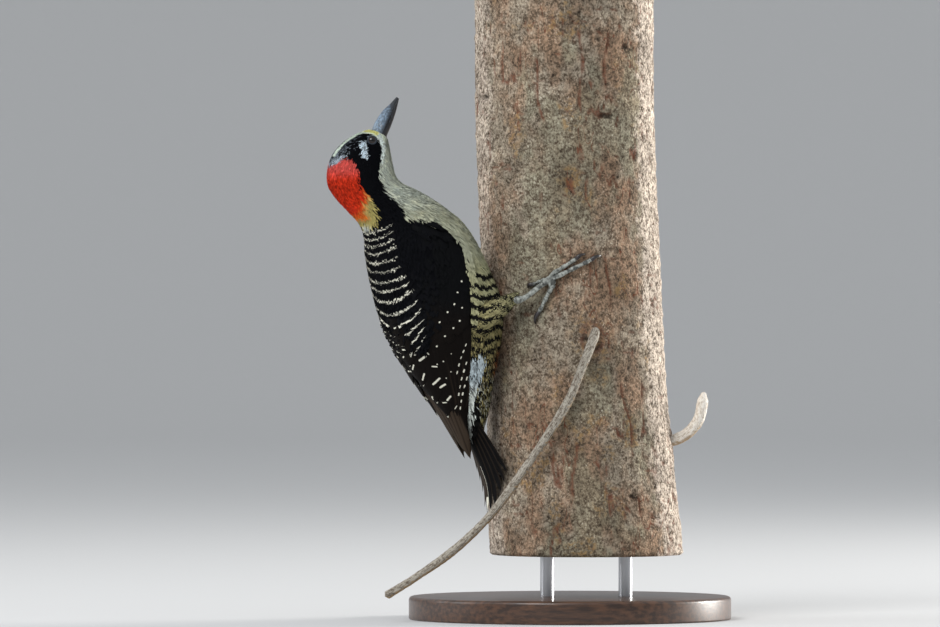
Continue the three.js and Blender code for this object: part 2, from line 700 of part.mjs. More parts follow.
function makeBird() {
  const bird = new THREE.Group();
  bird.rotation.z = BIRD_TURN;
  let coat = bodySolid().subtract(trunkRoomForBird);
  const whole = coat;
  for (const sign of [1, -1]) {
    coat = coat.subtract(wingRoom(sign)).subtract(thighSolid(sign, GAP)).subtract(eyeBall(sign, GAP));
  }
  for (const part of BODY_PARTS) {
    bird.add(meshOf(part.name, cutAlongBody(coat, part), paint(part.colour)));
  }
  bird.add(makeBill());
  bird.add(makeTail(whole));
  for (const [sideName, sign] of [["right", 1], ["left", -1]]) {
    bird.add(meshOf("eye_" + sideName, eyeBall(sign, 0), paint(0x2a1710, 0.1)));
    bird.add(makeWing(sideName, sign));
    bird.add(makeLeg(sideName, sign, whole));
  }
  return bird;
}

const model = new THREE.Group();
model.add(makeStand(), makePerch(), makeBird());

export default model;
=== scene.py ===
"""The looks of a still, life-size museum model: a female black-cheeked woodpecker on a cut trunk.

The bird's outer surface is the same loft through named stations as the packed solids. One skin lies
inside it, and thousands of small vanes grow from that skin and lie along the body. Wings and tail are
laid feather by feather. Sizes are millimetres until a mesh is made, and then metres. The bird has a
frame of its own: u runs from its back towards its front, w to its right and z up.
"""

import math
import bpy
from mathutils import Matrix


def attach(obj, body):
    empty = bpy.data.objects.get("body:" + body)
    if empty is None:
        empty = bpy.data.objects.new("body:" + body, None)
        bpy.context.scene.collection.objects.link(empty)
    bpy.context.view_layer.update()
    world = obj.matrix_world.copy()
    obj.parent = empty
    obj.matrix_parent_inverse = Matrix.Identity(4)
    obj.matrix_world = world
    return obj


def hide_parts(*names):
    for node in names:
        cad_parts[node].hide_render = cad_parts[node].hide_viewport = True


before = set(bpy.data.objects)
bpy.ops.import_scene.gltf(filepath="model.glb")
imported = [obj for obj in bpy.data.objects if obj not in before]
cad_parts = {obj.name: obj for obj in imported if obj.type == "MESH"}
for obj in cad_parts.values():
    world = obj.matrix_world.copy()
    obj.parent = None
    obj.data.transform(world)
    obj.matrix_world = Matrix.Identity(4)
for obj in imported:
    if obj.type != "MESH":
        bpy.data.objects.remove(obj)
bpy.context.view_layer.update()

import types

import bpy
import numpy as np

bl_info = {
    "name": "Woodpecker on a Cut Trunk",
    "version": (1, 0, 0),
    "blender": (4, 5, 0),
    "location": "3D View > Sidebar > Woodpecker",
    "description": "Builds a life-size museum model of a black-cheeked woodpecker on its perch",
    "category": "Add Mesh",
}

MM = 0.001
TURN = 2 * math.pi
UV_MARGIN = 0.02
UV_SPAN = 1 - 2 * UV_MARGIN
BIRD_TURN = math.radians(25)

# ---------- the solids' own dimensions

# Stations of the body from the bill's root to the tips of the tail coverts: the back outline's point
# (u, z), the front outline's point (u, z), the half width, the lean to the right, and the squareness.
BODY = np.array([
    [-95.2, 211.9, -88.6, 208.2, 4.6, 2.0, 2.0],  # 0 bill root
    [-100.2, 210.5, -88.0, 203.4, 8.2, 2.0, 2.0],  # 1 forehead
    [-107.0, 206.9, -87.1, 198.7, 10.8, 2.0, 2.0],  # 2 eye
    [-112.5, 201.4, -86.1, 194.4, 12.3, 2.0, 2.0],  # 3 ear
    [-115.1, 194.5, -84.7, 190.8, 13.3, 2.0, 2.0],  # 4 nape
    [-114.8, 187.4, -81.5, 188.3, 14.3, 2.0, 2.0],  # 5 throat
    [-110.8, 181.7, -75.8, 185.8, 16.0, 2.2, 2.1],  # 6 neck
    [-105.1, 176.3, -69.3, 182.3, 18.2, 2.5, 2.1],  # 7 collar
    [-99.6, 170.8, -62.4, 177.6, 20.2, 2.8, 2.2],  # 8 shoulder
    [-97.4, 165.0, -56.2, 172.6, 21.6, 3.0, 2.3],  # 9 upper breast
    [-97.0, 158.5, -50.4, 165.0, 22.6, 3.0, 2.4],  # 10 breast
    [-95.6, 150.3, -45.4, 156.0, 23.3, 3.0, 2.4],  # 11 lower breast
    [-93.3, 140.6, -41.0, 146.8, 23.4, 3.0, 2.4],  # 12 upper belly
    [-90.1, 130.3, -37.0, 137.0, 22.6, 3.0, 2.4],  # 13 belly
    [-84.4, 120.8, -36.9, 124.3, 20.8, 2.8, 2.4],  # 14 lower belly
    [-76.8, 111.6, -38.6, 111.8, 18.0, 2.4, 2.3],  # 15 flank
    [-68.6, 101.9, -39.9, 101.5, 14.6, 1.8, 2.2],  # 16 vent
    [-60.3, 93.3, -40.6, 92.5, 11.4, 1.2, 2.2],  # 17 rump
    [-53.4, 85.1, -42.5, 85.1, 8.8, 0.6, 2.2],  # 18 tail root
    [-48.2, 77.4, -43.8, 77.4, 4.4, 0.3, 2.0],  # 19 coverts' tips
])
BODY_END = len(BODY) - 1

# Stations of a folded wing: the point where its outline meets the midline (u, z), its lower edge
# (u, z), that edge's half width and lean, and the share of the way round where it leaves the mantle.
WING = np.array([
    [-100.0, 173.6, -79.0, 174.2, 20.6, 2.7, 0.78],
    [-98.8, 168.5, -72.0, 168.5, 23.2, 2.9, 0.69],
    [-97.4, 160.5, -65.4, 160.0, 24.4, 3.0, 0.64],
    [-94.2, 144.0, -62.0, 143.0, 25.0, 3.0, 0.63],
    [-89.4, 129.5, -60.8, 129.5, 24.0, 3.0, 0.56],
    [-85.0, 120.5, -59.6, 120.0, 22.0, 2.8, 0.30],
    [-80.0, 112.0, -58.0, 110.0, 18.4, 2.4, 0.025],
    [-72.8, 101.5, -56.4, 98.0, 13.8, 1.9, 0.025],
    [-64.6, 91.0, -54.8, 87.5, 9.4, 1.2, 0.035],
    [-57.3, 80.4, -52.2, 78.5, 6.6, 0.8, 0.06],
    [-51.4, 71.6, -49.4, 71.4, 3.8, 0.5, 0.15],
])
WING_END = len(WING) - 1

TAIL_RIDGE = np.array([[-60.0, 98.5], [-53.0, 85.1], [-45.8, 71.8], [-40.2, 58.8], [-39.0, 46.0]])
TAIL_TIP_SLOPE = 0.06
TAIL_ROOF = 0.48
# Tail feathers from the middle out: end along the ridge, root and tip distance from it, half width.
TAIL_FEATHERS = [
    (1.0, 1.4, 1.8, 2.8),
    (0.94, 2.4, 5.4, 3.1),
    (0.82, 3.2, 9.2, 3.2),
    (0.73, 4.0, 12.6, 3.2),
    (0.65, 4.8, 15.4, 2.9),
]

BILL_TIP = (-83.2, 225.4)
BILL_DEPTH = (6.9, 1.6)
BILL_WIDTH = (8.2, 0.9)
CULMEN_RISE = 1.2

EYE_RADIUS = 2.5
EYE_CLEARING = 2.62  # how near to the eye's centre feathers may come
EYE_SUNK = 1.6
EYE_STATION = 1.47
EYE_ANGLE = math.radians(63)

BODY_LEAN = 3.0
THIGH_LINE = np.array([[-64, 10.5, 125], [-55, 16.5, 129], [-46.5, 20.6, 134.5], [-38, 21.8, 139.4]])
THIGH_RADII = np.array([[6.8], [7.0], [4.9], [2.2]])
ANKLE = (-35.4, 25.0, 139.3)
SHANK_RADIUS = 1.3
MIDLINE_AZIMUTH = 209.2
FOOT = (46.8, 147.3, 2.5)  # degrees off the midline round the trunk, height, and lift off the bark
TOES = {
    "inner": ((47.5, 149.0), (64.6, 156.6), 1.05, 4.6),
    "middle": ((49.5, 147.8), (74.0, 156.1), 1.1, 5.2),
    "outer": ((49.0, 145.2), (38.5, 132.6), 1.05, 5.6),
    "hind": ((44.3, 147.4), (34.6, 145.0), 0.85, 3.2),
}

TRUNK_BOTTOM = 28.0
TRUNK_TOP = 274.0
TRUNK_RADIUS = 38.9
TRUNK_FLARE = 3.6
TRUNK_LEAN = 9.1
TRUNK_TOP_AXIS = -2.0
TWIG_LINE = np.array([
    [11, -33, 127.5], [9.6, -39.6, 122], [5.4, -43.4, 111.3], [-1.1, -44.4, 95.4], [-9.5, -44.4, 81.4],
    [-23.5, -44.2, 60.9], [-35.7, -43.8, 45], [-50.5, -43.2, 31], [-66.5, -42.6, 19.6], [-79, -42.2, 11.8],
])
TWIG_RADII = (2.05, 1.75)
STUB_LINE = np.array([[36, 1, 78], [43.5, 0.5, 77.4], [50.6, 0, 80.4], [56, -0.5, 87], [58.2, -0.5, 98]])
STUB_RADIUS = 2.5
KNOTS = (  # dark knots in the bark: degrees round the trunk, height, half width and half height
    (-48, 247, 3.4, 2.6), (-64, 217.6, 3.6, 1.4), (-57, 54, 2.4, 1.6), (48, 196, 3.0, 2.4),
    (124, 122, 3.2, 2.0), (205, 226, 2.6, 2.2), (100, 236, 3.6, 1.6), (20, 96, 2.2, 1.8),
)
CRACKS = (  # reddish cracks: degrees round the trunk, lower and upper height, and lean
    (-81, 218, 256, 0.0), (-65, 229, 255, 0.05), (-106, 214, 244, -0.12), (-66, 134, 156, 0.0),
    (-79, 179, 192, 0.1), (-54, 70, 104, -0.1), (-96, 52, 78, 0.08), (-73, 44, 60, -0.2),
    (62, 150, 190, 0.05), (118, 180, 232, 0.0), (150, 60, 108, 0.08), (28, 200, 240, -0.06),
)

SIDES = (("right", 1), ("left", -1))
FLESH = ("head", "neck", "breast", "belly", "rump", "thigh_right", "thigh_left")


# ---------- numbers and lines


def smoothstep(x, low, high):
    """0 below low, 1 above high, and 3t^2 - 2t^3 between them."""
    t = np.clip((x - low) / (high - low), 0, 1)
    return t * t * (3 - 2 * t)


def lerp(a, b, t):
    return a + (b - a) * t


def stacked(*columns):
    """Numbers or arrays that fit together, as the last axis of one array."""
    return np.stack(np.broadcast_arrays(*columns), -1)


def length_of(v):
    return np.linalg.norm(v, axis=-1)


def unit(v):
    """Vectors at length 1."""
    return v / np.maximum(length_of(v), 1e-12)[..., None]


def square_to(axis, hint):
    """Two unit vectors square to a unit axis and to each other, the first square to the hint too."""
    first = unit(np.cross(axis, hint))
    return first, np.cross(axis, first)


def full_turn(count):
    """Angles of count equal steps round, from 0."""
    return np.linspace(0, TURN, count, endpoint=False)


def gauss(x, width):
    """A bell of height 1 about 0: e to the minus (x / width) squared."""
    return np.exp(-((x / width) ** 2))


def spline(points, t):
    """The smooth line through the rows of points, at t counted in rows.

    Between two rows it is the cubic whose slope at each row is half the step between that row's
    neighbours. Past either end it goes straight on."""
    p = np.asarray(points, float)
    p = np.vstack([2 * p[:1] - p[1:2], p, 2 * p[-1:] - p[-2:-1]])
    t = np.asarray(t, float)
    inside = np.clip(t, 0, len(p) - 3)
    row = np.minimum(inside.astype(int), len(p) - 4)
    f = (inside - row)[..., None]
    before, start, end, after = (p[row + k] for k in range(4))
    slope_in, slope_out = (end - before) / 2, (after - start) / 2
    at = start * (2 * f**3 - 3 * f**2 + 1) + slope_in * (f**3 - 2 * f**2 + f)
    at = at + end * (3 * f**2 - 2 * f**3) + slope_out * (f**3 - f**2)
    past = (t - inside)[..., None]
    return at + np.where(past > 0, slope_out, slope_in) * past


def even_steps(points, count):
    """count + 1 row numbers along the line through points, at equal distances along it."""
    fine = np.linspace(0, len(points) - 1, 200)
    steps = length_of(np.diff(spline(points, fine), axis=0))
    run = np.concatenate([[0], np.cumsum(steps)])
    return np.interp(np.linspace(0, run[-1], count + 1), run, fine)


def lattice_noise(p, seed):
    """Smooth noise from 0 to 1 at points p: a hash at the unit lattice, blended over each cell."""
    cell = np.floor(p).astype(np.int64)
    f = p - cell
    f = f * f * (3 - 2 * f)
    total = 0.0
    for dx in (0, 1):
        for dy in (0, 1):
            for dz in (0, 1):
                h = (cell[..., 0] + dx) * 374761393 + (cell[..., 1] + dy) * 668265263
                h = (h + (cell[..., 2] + dz) * 2147483629 + seed * 974634777) & 0xFFFFFFFF
                h = ((h ^ (h >> 13)) * 1274126177) & 0xFFFFFFFF
                h = (h ^ (h >> 16)) & 0xFFFFFF
                weight = np.abs(1 - dx - f[..., 0]) * np.abs(1 - dy - f[..., 1]) * np.abs(1 - dz - f[..., 2])
                total = total + weight * h / 0xFFFFFF
    return total


def layered_noise(p, seed, layers=4):
    """Noise from about 0 to 1: layers of lattice noise, each twice as fine and half as strong."""
    total, strength = 0.0, 0.0
    for k in range(layers):
        total = total + lattice_noise(p * 2**k, seed + k) / 2**k
        strength += 1 / 2**k
    return total / strength


def to_world(u, w, z):
    """Bird-frame coordinates as points of the model: the bird frame turned by BIRD_TURN about Z."""
    c, s = math.cos(BIRD_TURN), math.sin(BIRD_TURN)
    return stacked(u * c + w * s, u * s - w * c, z)


def to_bird(p):
    """Points of the model as bird-frame u, w and z."""
    c, s = math.cos(BIRD_TURN), math.sin(BIRD_TURN)
    return p[..., 0] * c + p[..., 1] * s, p[..., 0] * s - p[..., 1] * c, p[..., 2]


# ---------- surfaces


def trunk_axis(z):
    drop = (TRUNK_TOP - z) / (TRUNK_TOP - TRUNK_BOTTOM)
    return TRUNK_TOP_AXIS + TRUNK_LEAN * drop * drop


def trunk_radius(azimuth, z):
    """Nearly round, with two low swellings round the trunk and a flare towards the ground."""
    flare = TRUNK_FLARE * (1 - smoothstep(z, 10, 120))
    swell = 0.45 * np.sin(3 * azimuth + 0.021 * z) + 0.3 * np.sin(5 * azimuth - 0.037 * z + 1)
    return TRUNK_RADIUS + flare + swell


def trunk_surface(azimuth, z, lift=0.0):
    r = trunk_radius(azimuth, z) + lift
    return stacked(trunk_axis(z) + r * np.cos(azimuth), r * np.sin(azimuth), z)


def off_trunk(p, gap=0.5):
    """Points moved straight out from the trunk's axis where they would be nearer its bark than gap."""
    x = p[..., 0] - trunk_axis(p[..., 2])
    y = p[..., 1]
    reach = np.hypot(x, y)
    need = trunk_radius(np.arctan2(y, x), p[..., 2]) + gap
    grow = np.where((reach < need) & (p[..., 2] < TRUNK_TOP), need / np.maximum(reach, 1e-6), 1)
    return np.stack([trunk_axis(p[..., 2]) + x * grow, y * grow, p[..., 2]], -1)


def body_surface(s, angle):
    """The coat's outer surface at station s. The angle is 0 on the back's midline and grows to the right.

    A section's back half is half an ellipse, and its front half a superellipse of the given squareness."""
    bu, bz, fu, fz, half, lean, square = np.moveaxis(spline(BODY, s), -1, 0)
    power = np.where(np.cos(angle) > 0, 1.0, 2 / np.maximum(square, 1.5))
    c = np.sign(np.cos(angle)) * np.abs(np.cos(angle)) ** power
    across = np.sign(np.sin(angle)) * np.abs(np.sin(angle)) ** power
    u = (bu + fu) / 2 + (bu - fu) / 2 * c
    z = (bz + fz) / 2 + (bz - fz) / 2 * c
    return to_world(u, lean + half * across, z)


def section_middle(s):
    """The middle of the body's section at one station."""
    bu, bz, fu, fz, _half, lean, _square = spline(BODY, s)
    return to_world((bu + fu) / 2, lean, (bz + fz) / 2)


def wing_surface(side):
    """A folded wing's outer face: a quarter ellipse from the ridge (v = 0) to the lower edge (v = 1)."""

    def surface(t, v):
        ru, rz, eu, ez, half, lean, _start = np.moveaxis(spline(WING, t), -1, 0)
        c, s = np.cos(v * math.pi / 2), np.sin(v * math.pi / 2)
        return to_world(eu + (ru - eu) * c, lean + side * half * s, ez + (rz - ez) * c)

    return surface


def wing_start(t):
    return np.clip(spline(WING, t)[..., 6], 0.02, 1)


def tail_surface(t, w):
    """The tail's upper face at t from root (0) to tip (1) and w across: a roof that flattens tipwards."""
    u, z = np.moveaxis(spline(TAIL_RIDGE, t * (len(TAIL_RIDGE) - 1)), -1, 0)
    slope = TAIL_TIP_SLOPE + TAIL_ROOF * np.clip(1 - t, 0, 2) ** 0.9
    return to_world(u + slope * (np.hypot(w, 2) - 2), w, z)


def thigh_surface(side):
    """A feathered thigh: a round bar about its line, t from the flank (0) to the ankle (1)."""
    line = to_world(THIGH_LINE[:, 0], BODY_LEAN + side * THIGH_LINE[:, 1], THIGH_LINE[:, 2])
    e1, e2 = square_to(unit(line[-1] - line[0]), (0, 0, 1))

    def surface(t, angle):
        row = t * (len(line) - 1)
        r = np.maximum(spline(THIGH_RADII, row), 0.3)
        return spline(line, row) + r * (np.cos(angle)[..., None] * e1 + np.sin(angle)[..., None] * e2)

    return surface


def bark_point(side, around, height, lift):
    """A place off the bark, by the degrees round the trunk from the bird's midline."""
    return trunk_surface(np.radians(MIDLINE_AZIMUTH + side * around), height, lift)


def slopes(surface, a, b):
    """How a surface's points move with its first parameter, and with its second."""
    e = 2e-3
    da = surface(a + e, b) - surface(a - e, b)
    db = surface(a, b + e) - surface(a, b - e)
    return da / (2 * e), db / (2 * e)


def raised(surface, a, b, height, facing=1):
    """The points of a surface, moved by height along its outward normal.

    The normal is the cross product of the surface's two slopes, turned round where facing is -1."""
    normal = facing * unit(np.cross(*slopes(surface, a, b)))
    return surface(a, b) + normal * np.asarray(height)[..., None]


# ---------- meshes


def grid_faces(rows, cols, count=1, wrap=False):
    """Quads of count grids of (rows + 1) by (cols + 1) points, or by cols points where they wrap round."""
    width = cols if wrap else cols + 1
    i, j = np.meshgrid(np.arange(rows), np.arange(cols), indexing="ij")
    k = (j + 1) % width if wrap else j + 1
    one = np.stack([i * width + j, (i + 1) * width + j, (i + 1) * width + k, i * width + k], -1)
    shift = np.arange(count)[:, None, None] * (rows + 1) * width
    return (one.reshape(1, -1, 4) + shift).reshape(-1, 4)


def make_mesh(name, points, faces):
    """A smooth-shaded object at the origin, from points in mm and rows of corner numbers."""
    mesh = bpy.data.meshes.new(name)
    faces = np.asarray(faces, np.int32)
    corners = faces.shape[1]
    mesh.vertices.add(len(points))
    mesh.vertices.foreach_set("co", (np.asarray(points, np.float32) * MM).ravel())
    mesh.loops.add(faces.size)
    mesh.loops.foreach_set("vertex_index", faces.ravel())
    mesh.polygons.add(len(faces))
    mesh.polygons.foreach_set("loop_start", np.arange(0, faces.size, corners, dtype=np.int32))
    mesh.polygons.foreach_set("use_smooth", np.full(len(faces), True))
    mesh.update(calc_edges=True)
    mesh.validate()
    piece = bpy.data.objects.new(name, mesh)
    bpy.context.scene.collection.objects.link(piece)
    return piece


def set_colour(piece, name, values):
    """A colour attribute on the points, from rows of r, g, b and, where it isn't 1, a."""
    rows = np.ones((len(values), 4), np.float32)
    rows[:, : values.shape[1]] = values
    attribute = piece.data.attributes.new(name, "FLOAT_COLOR", "POINT")
    attribute.data.foreach_set("color", rows.ravel())


def set_vector(piece, name, values):
    attribute = piece.data.attributes.new(name, "FLOAT_VECTOR", "POINT")
    attribute.data.foreach_set("vector", np.asarray(values, np.float32).ravel())


def numbers(rows, field, width=1, kind=np.int32):
    """A field of all of a mesh's points or corners, as a list or as rows of that width."""
    values = np.zeros(len(rows) * width, kind)
    rows.foreach_get(field, values)
    return values.reshape(-1, width) if width > 1 else values


def set_uv(piece, uv):
    """The UV map OFBake from one (u, v) row per point."""
    layer = piece.data.uv_layers.new(name="OFBake")
    corner = numbers(piece.data.loops, "vertex_index")
    layer.data.foreach_set("uv", np.asarray(uv, np.float32)[corner].ravel())


def finish_piece(piece, nodes, material):
    """Rides on the root, stands for the CAD nodes and wears the material."""
    piece.data.materials.append(material)
    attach(piece, "root")
    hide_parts(*nodes)


def joined(parts):
    """Several (points, faces, attributes...) as one: faces are renumbered, the rest are stacked."""
    shift, faces = 0, []
    for part in parts:
        faces.append(np.asarray(part[1]) + shift)
        shift += len(part[0])
    columns = list(zip(*parts))
    rest = [np.concatenate(column) for column in columns[2:]]
    return [np.concatenate(columns[0]), np.concatenate(faces), *rest]


def tube(line, radii, rings, sides, scutes=0, scute_height=0.0):
    """A round bar along a line of points, closed at both ends.

    radii are given at equal steps along it. Scutes are rings whose radius falls along each step. The
    marks of a point are how far along and how far round it lies, and how near to a crease."""
    at = even_steps(line, rings)
    centre = spline(line, at)
    ahead = unit(np.gradient(centre, axis=0))
    side = unit(np.cross(ahead, (0.13, 0.31, 0.94)))
    up = np.cross(side, ahead)
    share = np.linspace(0, 1, rings + 1)
    r = np.interp(share, np.linspace(0, 1, len(radii)), radii)
    crease = np.zeros(rings + 1)
    if scutes:
        step = (share * scutes) % 1
        r = r + scute_height * (0.5 - step)
        crease = 1 - smoothstep(np.minimum(step, 1 - step), 0.06, 0.24)
    angle = full_turn(sides)
    ring = np.cos(angle)[None, :, None] * side[:, None] + np.sin(angle)[None, :, None] * up[:, None]
    points = centre[:, None] + ring * r[:, None, None]
    first = np.repeat(centre[:1] - ahead[:1] * r[0] * 0.5, sides, 0)
    last = np.repeat(centre[-1:] + ahead[-1:] * r[-1] * 0.6, sides, 0)
    points = np.concatenate([first[None], points, last[None]])
    along = np.concatenate([[0], share, [1]])
    crease = np.concatenate([[0], crease, [0]])
    marks = stacked(along[:, None], angle[None] / TURN, crease[:, None])
    return points.reshape(-1, 3), grid_faces(rings + 2, sides, wrap=True), marks.reshape(-1, 3)


# ---------- feathers


def vanes(surface, a, b, size, rng, grid, facing=1, *, turn, sunk, proud, fray, rough=0.05):
    """Joined small feathers that start at surface(a, b) and run along growing a.

    size is (length, width) in mm and grid each one's rows and columns of faces. For each feather or for
    all, turn is the angle off that course, sunk how deep the root lies, proud how far the tip stands
    out, fray how unevenly the barbs end and rough how uneven the face is. x runs from 0 at the root to
    1 at the tip and y from -1 to 1 across. The half width rises over the first half and rounds off to
    the tip, and the sides drop by a tenth of the width."""
    n = len(a)
    rows, cols = grid

    def each(value):
        return np.broadcast_to(np.asarray(value, float), (n,))[:, None, None]

    length, width = each(size[0]), each(size[1])
    per_a, per_b = (each(np.maximum(length_of(slope), 0.8)) for slope in slopes(surface, a, b))
    x = (np.linspace(0, 1, rows + 1) ** 0.8)[None, :, None]
    y = np.linspace(-1, 1, cols + 1)[None, None, :]
    fray = each(fray) * (rng.random((n, rows + 1, cols + 1)) - 0.5) * smoothstep(x, 0.5, 1)
    outline = (0.5 + 0.5 * smoothstep(x, 0, 0.5)) * (1 - 0.72 * smoothstep(x, 0.72, 1.02) ** 1.4)
    along = length * (x * (1 - 0.13 * y**2 * x**3) + fray)
    bend = each(rng.normal(0, 0.05, n)) * length
    across = width / 2 * outline * y + bend * x**2
    turn = each(turn)
    da = (along * np.cos(turn) - across * np.sin(turn)) / per_a
    db = (along * np.sin(turn) + across * np.cos(turn)) / per_b
    level = rng.normal(0, 1, n)
    height = -each(sunk) * (1 - x) ** 1.4 + each(proud) * x**2
    height = height - 0.1 * width * y**2 + 0.05 * each(level)
    height = height + each(rough) * width * rng.normal(0, 1, (n, rows + 1, cols + 1)) * x
    points = raised(surface, each(a) + da, each(b) + db, height, facing)
    marks = stacked(x, y, each(rng.random(n)))
    return points.reshape(-1, 3), grid_faces(rows, cols, n), marks.reshape(-1, 3)


def scatter(surface, a_range, b_range, density, rng, cells=(360, 200)):
    """Surface parameters spread evenly, density(a, b) to the square mm.

    The area of each cell of a fine grid, times its density, says how many fall there, and a pair of
    steps by the plastic number spreads them without clumps."""
    a = np.linspace(*a_range, cells[0] + 1)
    b = np.linspace(*b_range, cells[1] + 1)
    mid_a, mid_b = np.meshgrid((a[1:] + a[:-1]) / 2, (b[1:] + b[:-1]) / 2, indexing="ij")
    area = length_of(np.cross(*slopes(surface, mid_a, mid_b))) * (a[1] - a[0]) * (b[1] - b[0])
    share = area * density(mid_a, mid_b)
    count = int(share.sum())
    step = 1.32471795724
    first = (0.5 + np.arange(count) / step) % 1
    second = (0.5 + np.arange(count) / step**2) % 1
    row_run = np.concatenate([[0], np.cumsum(share.sum(1))])
    place = np.interp(first, row_run / row_run[-1], np.arange(cells[0] + 1))
    row = np.minimum(place.astype(int), cells[0] - 1)
    run = np.cumsum(share, axis=1)
    run = np.concatenate([np.zeros((cells[0], 1)), run], 1) / np.maximum(run[:, -1:], 1e-9)
    column = np.clip((run[row] <= second[:, None]).sum(1) - 1, 0, cells[1] - 1)
    low, high = run[row, column], run[row, column + 1]
    inside = (second - low) / np.maximum(high - low, 1e-9)
    jitter = rng.normal(0, 0.15, (2, count))
    at_a = np.interp(place + jitter[0], np.arange(cells[0] + 1), a)
    at_b = np.interp(column + inside + jitter[1], np.arange(cells[1] + 1), b)
    return at_a, at_b


def blades(surface, root, tip, half, level, rows, cols, facing=1, point=0.0, curve=1.0):
    """Joined long feathers, each along a line of surface parameters from root to tip.

    y across is laid off along b. The half width rises quickly, stays and rounds off; point from 0 to 1
    narrows the end. level is the height over the surface. The line's second parameter goes as x to the
    power of curve, so that 1 makes it straight."""
    a0, b0, a1, b1 = (np.asarray(k, float)[:, None, None] for k in (*root, *tip))
    half, level = (np.broadcast_to(np.asarray(k, float), (len(a0),))[:, None, None] for k in (half, level))
    x = (np.linspace(0, 1, rows + 1) ** 0.85)[None, :, None]
    y = np.linspace(-1, 1, cols + 1)[None, None, :]
    a = a0 + (a1 - a0) * x
    b = b0 + (b1 - b0) * x**curve
    per_b = length_of(slopes(surface, a, b)[1])
    round_tip = np.sqrt(np.clip(1 - smoothstep(x, 0.8, 1.01) ** 1.5, 0.02, 1))
    outline = (0.55 + 0.45 * smoothstep(x, 0, 0.3)) * round_tip * (1 - point * smoothstep(x, 0.35, 1))
    back = 0.03 * y**2 * smoothstep(x, 0.8, 1) * (a1 - a0)
    height = level - 0.08 * half * y**2 + 0.35 * (x - 1)
    b = b + y * half * outline / np.maximum(per_b, 1.0)
    points = raised(surface, np.broadcast_to(a - back, b.shape), b, height, facing)
    seed = ((np.arange(len(a0)) * 0.618) % 1)[:, None, None]
    return points.reshape(-1, 3), grid_faces(rows, cols, len(a0)), stacked(x, y, seed).reshape(-1, 3)


def inset(u, v):
    """Rows of UV from u and v, 0 to 1, kept a little inside the map's edge."""
    return stacked(u, v).reshape(-1, 2) * UV_SPAN + UV_MARGIN


def tuft_uv(u, v, marks, patch=0.003):
    """Each tuft's UV: a patch of that size at its root's place (u, v) from 0 to 1."""
    per = len(marks) // len(u)
    at = np.repeat(inset(u, v), per, 0)
    return at + (marks[:, :2] * (1, 0.5) - (0.5, 0)) * patch


def strip_uv(count, marks):
    """Each long feather's UV: a strip of its own across the map."""
    per = len(marks) // count
    lane = np.repeat(np.arange(count), per)
    return stacked(UV_MARGIN + UV_SPAN * marks[:, 0], (lane + 0.5 + 0.42 * marks[:, 1]) / count)


def spread(values, count):
    """One row for each of count points, from one row, one for each feather, or one for each point."""
    values = np.atleast_2d(np.asarray(values, float))
    return np.repeat(values, count // len(values), 0)


def dressed(feathers, base, mark, bars, uv, facing=1):
    """Joined feathers with their colours, bars and UVs, one row of each to a point.

    bars are (coordinate, width, 0): a mark lies where the coordinate passes a whole number, and is
    width of the way to the next one wide."""
    points, faces, marks = feathers
    base, mark, bars = (spread(values, len(points)) for values in (base, mark, bars))
    return points, faces[:, ::facing], marks, base, mark, bars, uv


def painted_piece(name, points, faces, base, nodes, material):
    """One object with a colour of its own at each point."""
    piece = make_mesh(name, points.reshape(-1, 3), faces)
    set_colour(piece, "base", base.reshape(-1, 3))
    finish_piece(piece, nodes, material)
    return piece


def feathered_mesh(name, points, faces, marks, base, mark, bars):
    """A mesh with all that the feathers' material reads off its points."""
    piece = make_mesh(name, points, faces)
    set_vector(piece, "vane", marks)
    set_colour(piece, "base", base)
    set_colour(piece, "mark", mark)
    set_vector(piece, "bars", bars)
    return piece


def feather_piece(name, parts, nodes, material):
    """One object from several dressed sets of feathers."""
    *fields, uv = joined(parts)
    piece = feathered_mesh(name, *fields)
    set_uv(piece, uv)
    finish_piece(piece, nodes, material)


def spotted(points, strokes, surface, facing=1):
    """Bars that paint pale strokes on a surface: one (coordinate, width, 0) to each point.

    A stroke runs between two places of the surface, (a0, b0, a1, b1, half width). The coordinate is 0.2
    times the distance from the nearest stroke's line, counted in half widths and leaving out the part
    along the surface's normal."""
    a0, b0, a1, b1, half = np.asarray(strokes, float).T
    start, end = surface(a0, b0), surface(a1, b1)
    middle = ((a0 + a1) / 2, (b0 + b1) / 2)
    normal = raised(surface, *middle, np.ones(len(a0)), facing) - surface(*middle)
    along = end - start
    share = ((points[:, None] - start) * along).sum(-1) / np.maximum((along * along).sum(-1), 1e-6)
    away = points[:, None] - start - np.clip(share, 0, 1)[..., None] * along
    out = (away * normal).sum(-1)
    away = length_of(away - out[..., None] * normal) / half
    away = np.where(np.abs(out) < 2.5, away, 9).min(1)
    return stacked(np.minimum(0.5, 0.2 * away), 0.4, 0)


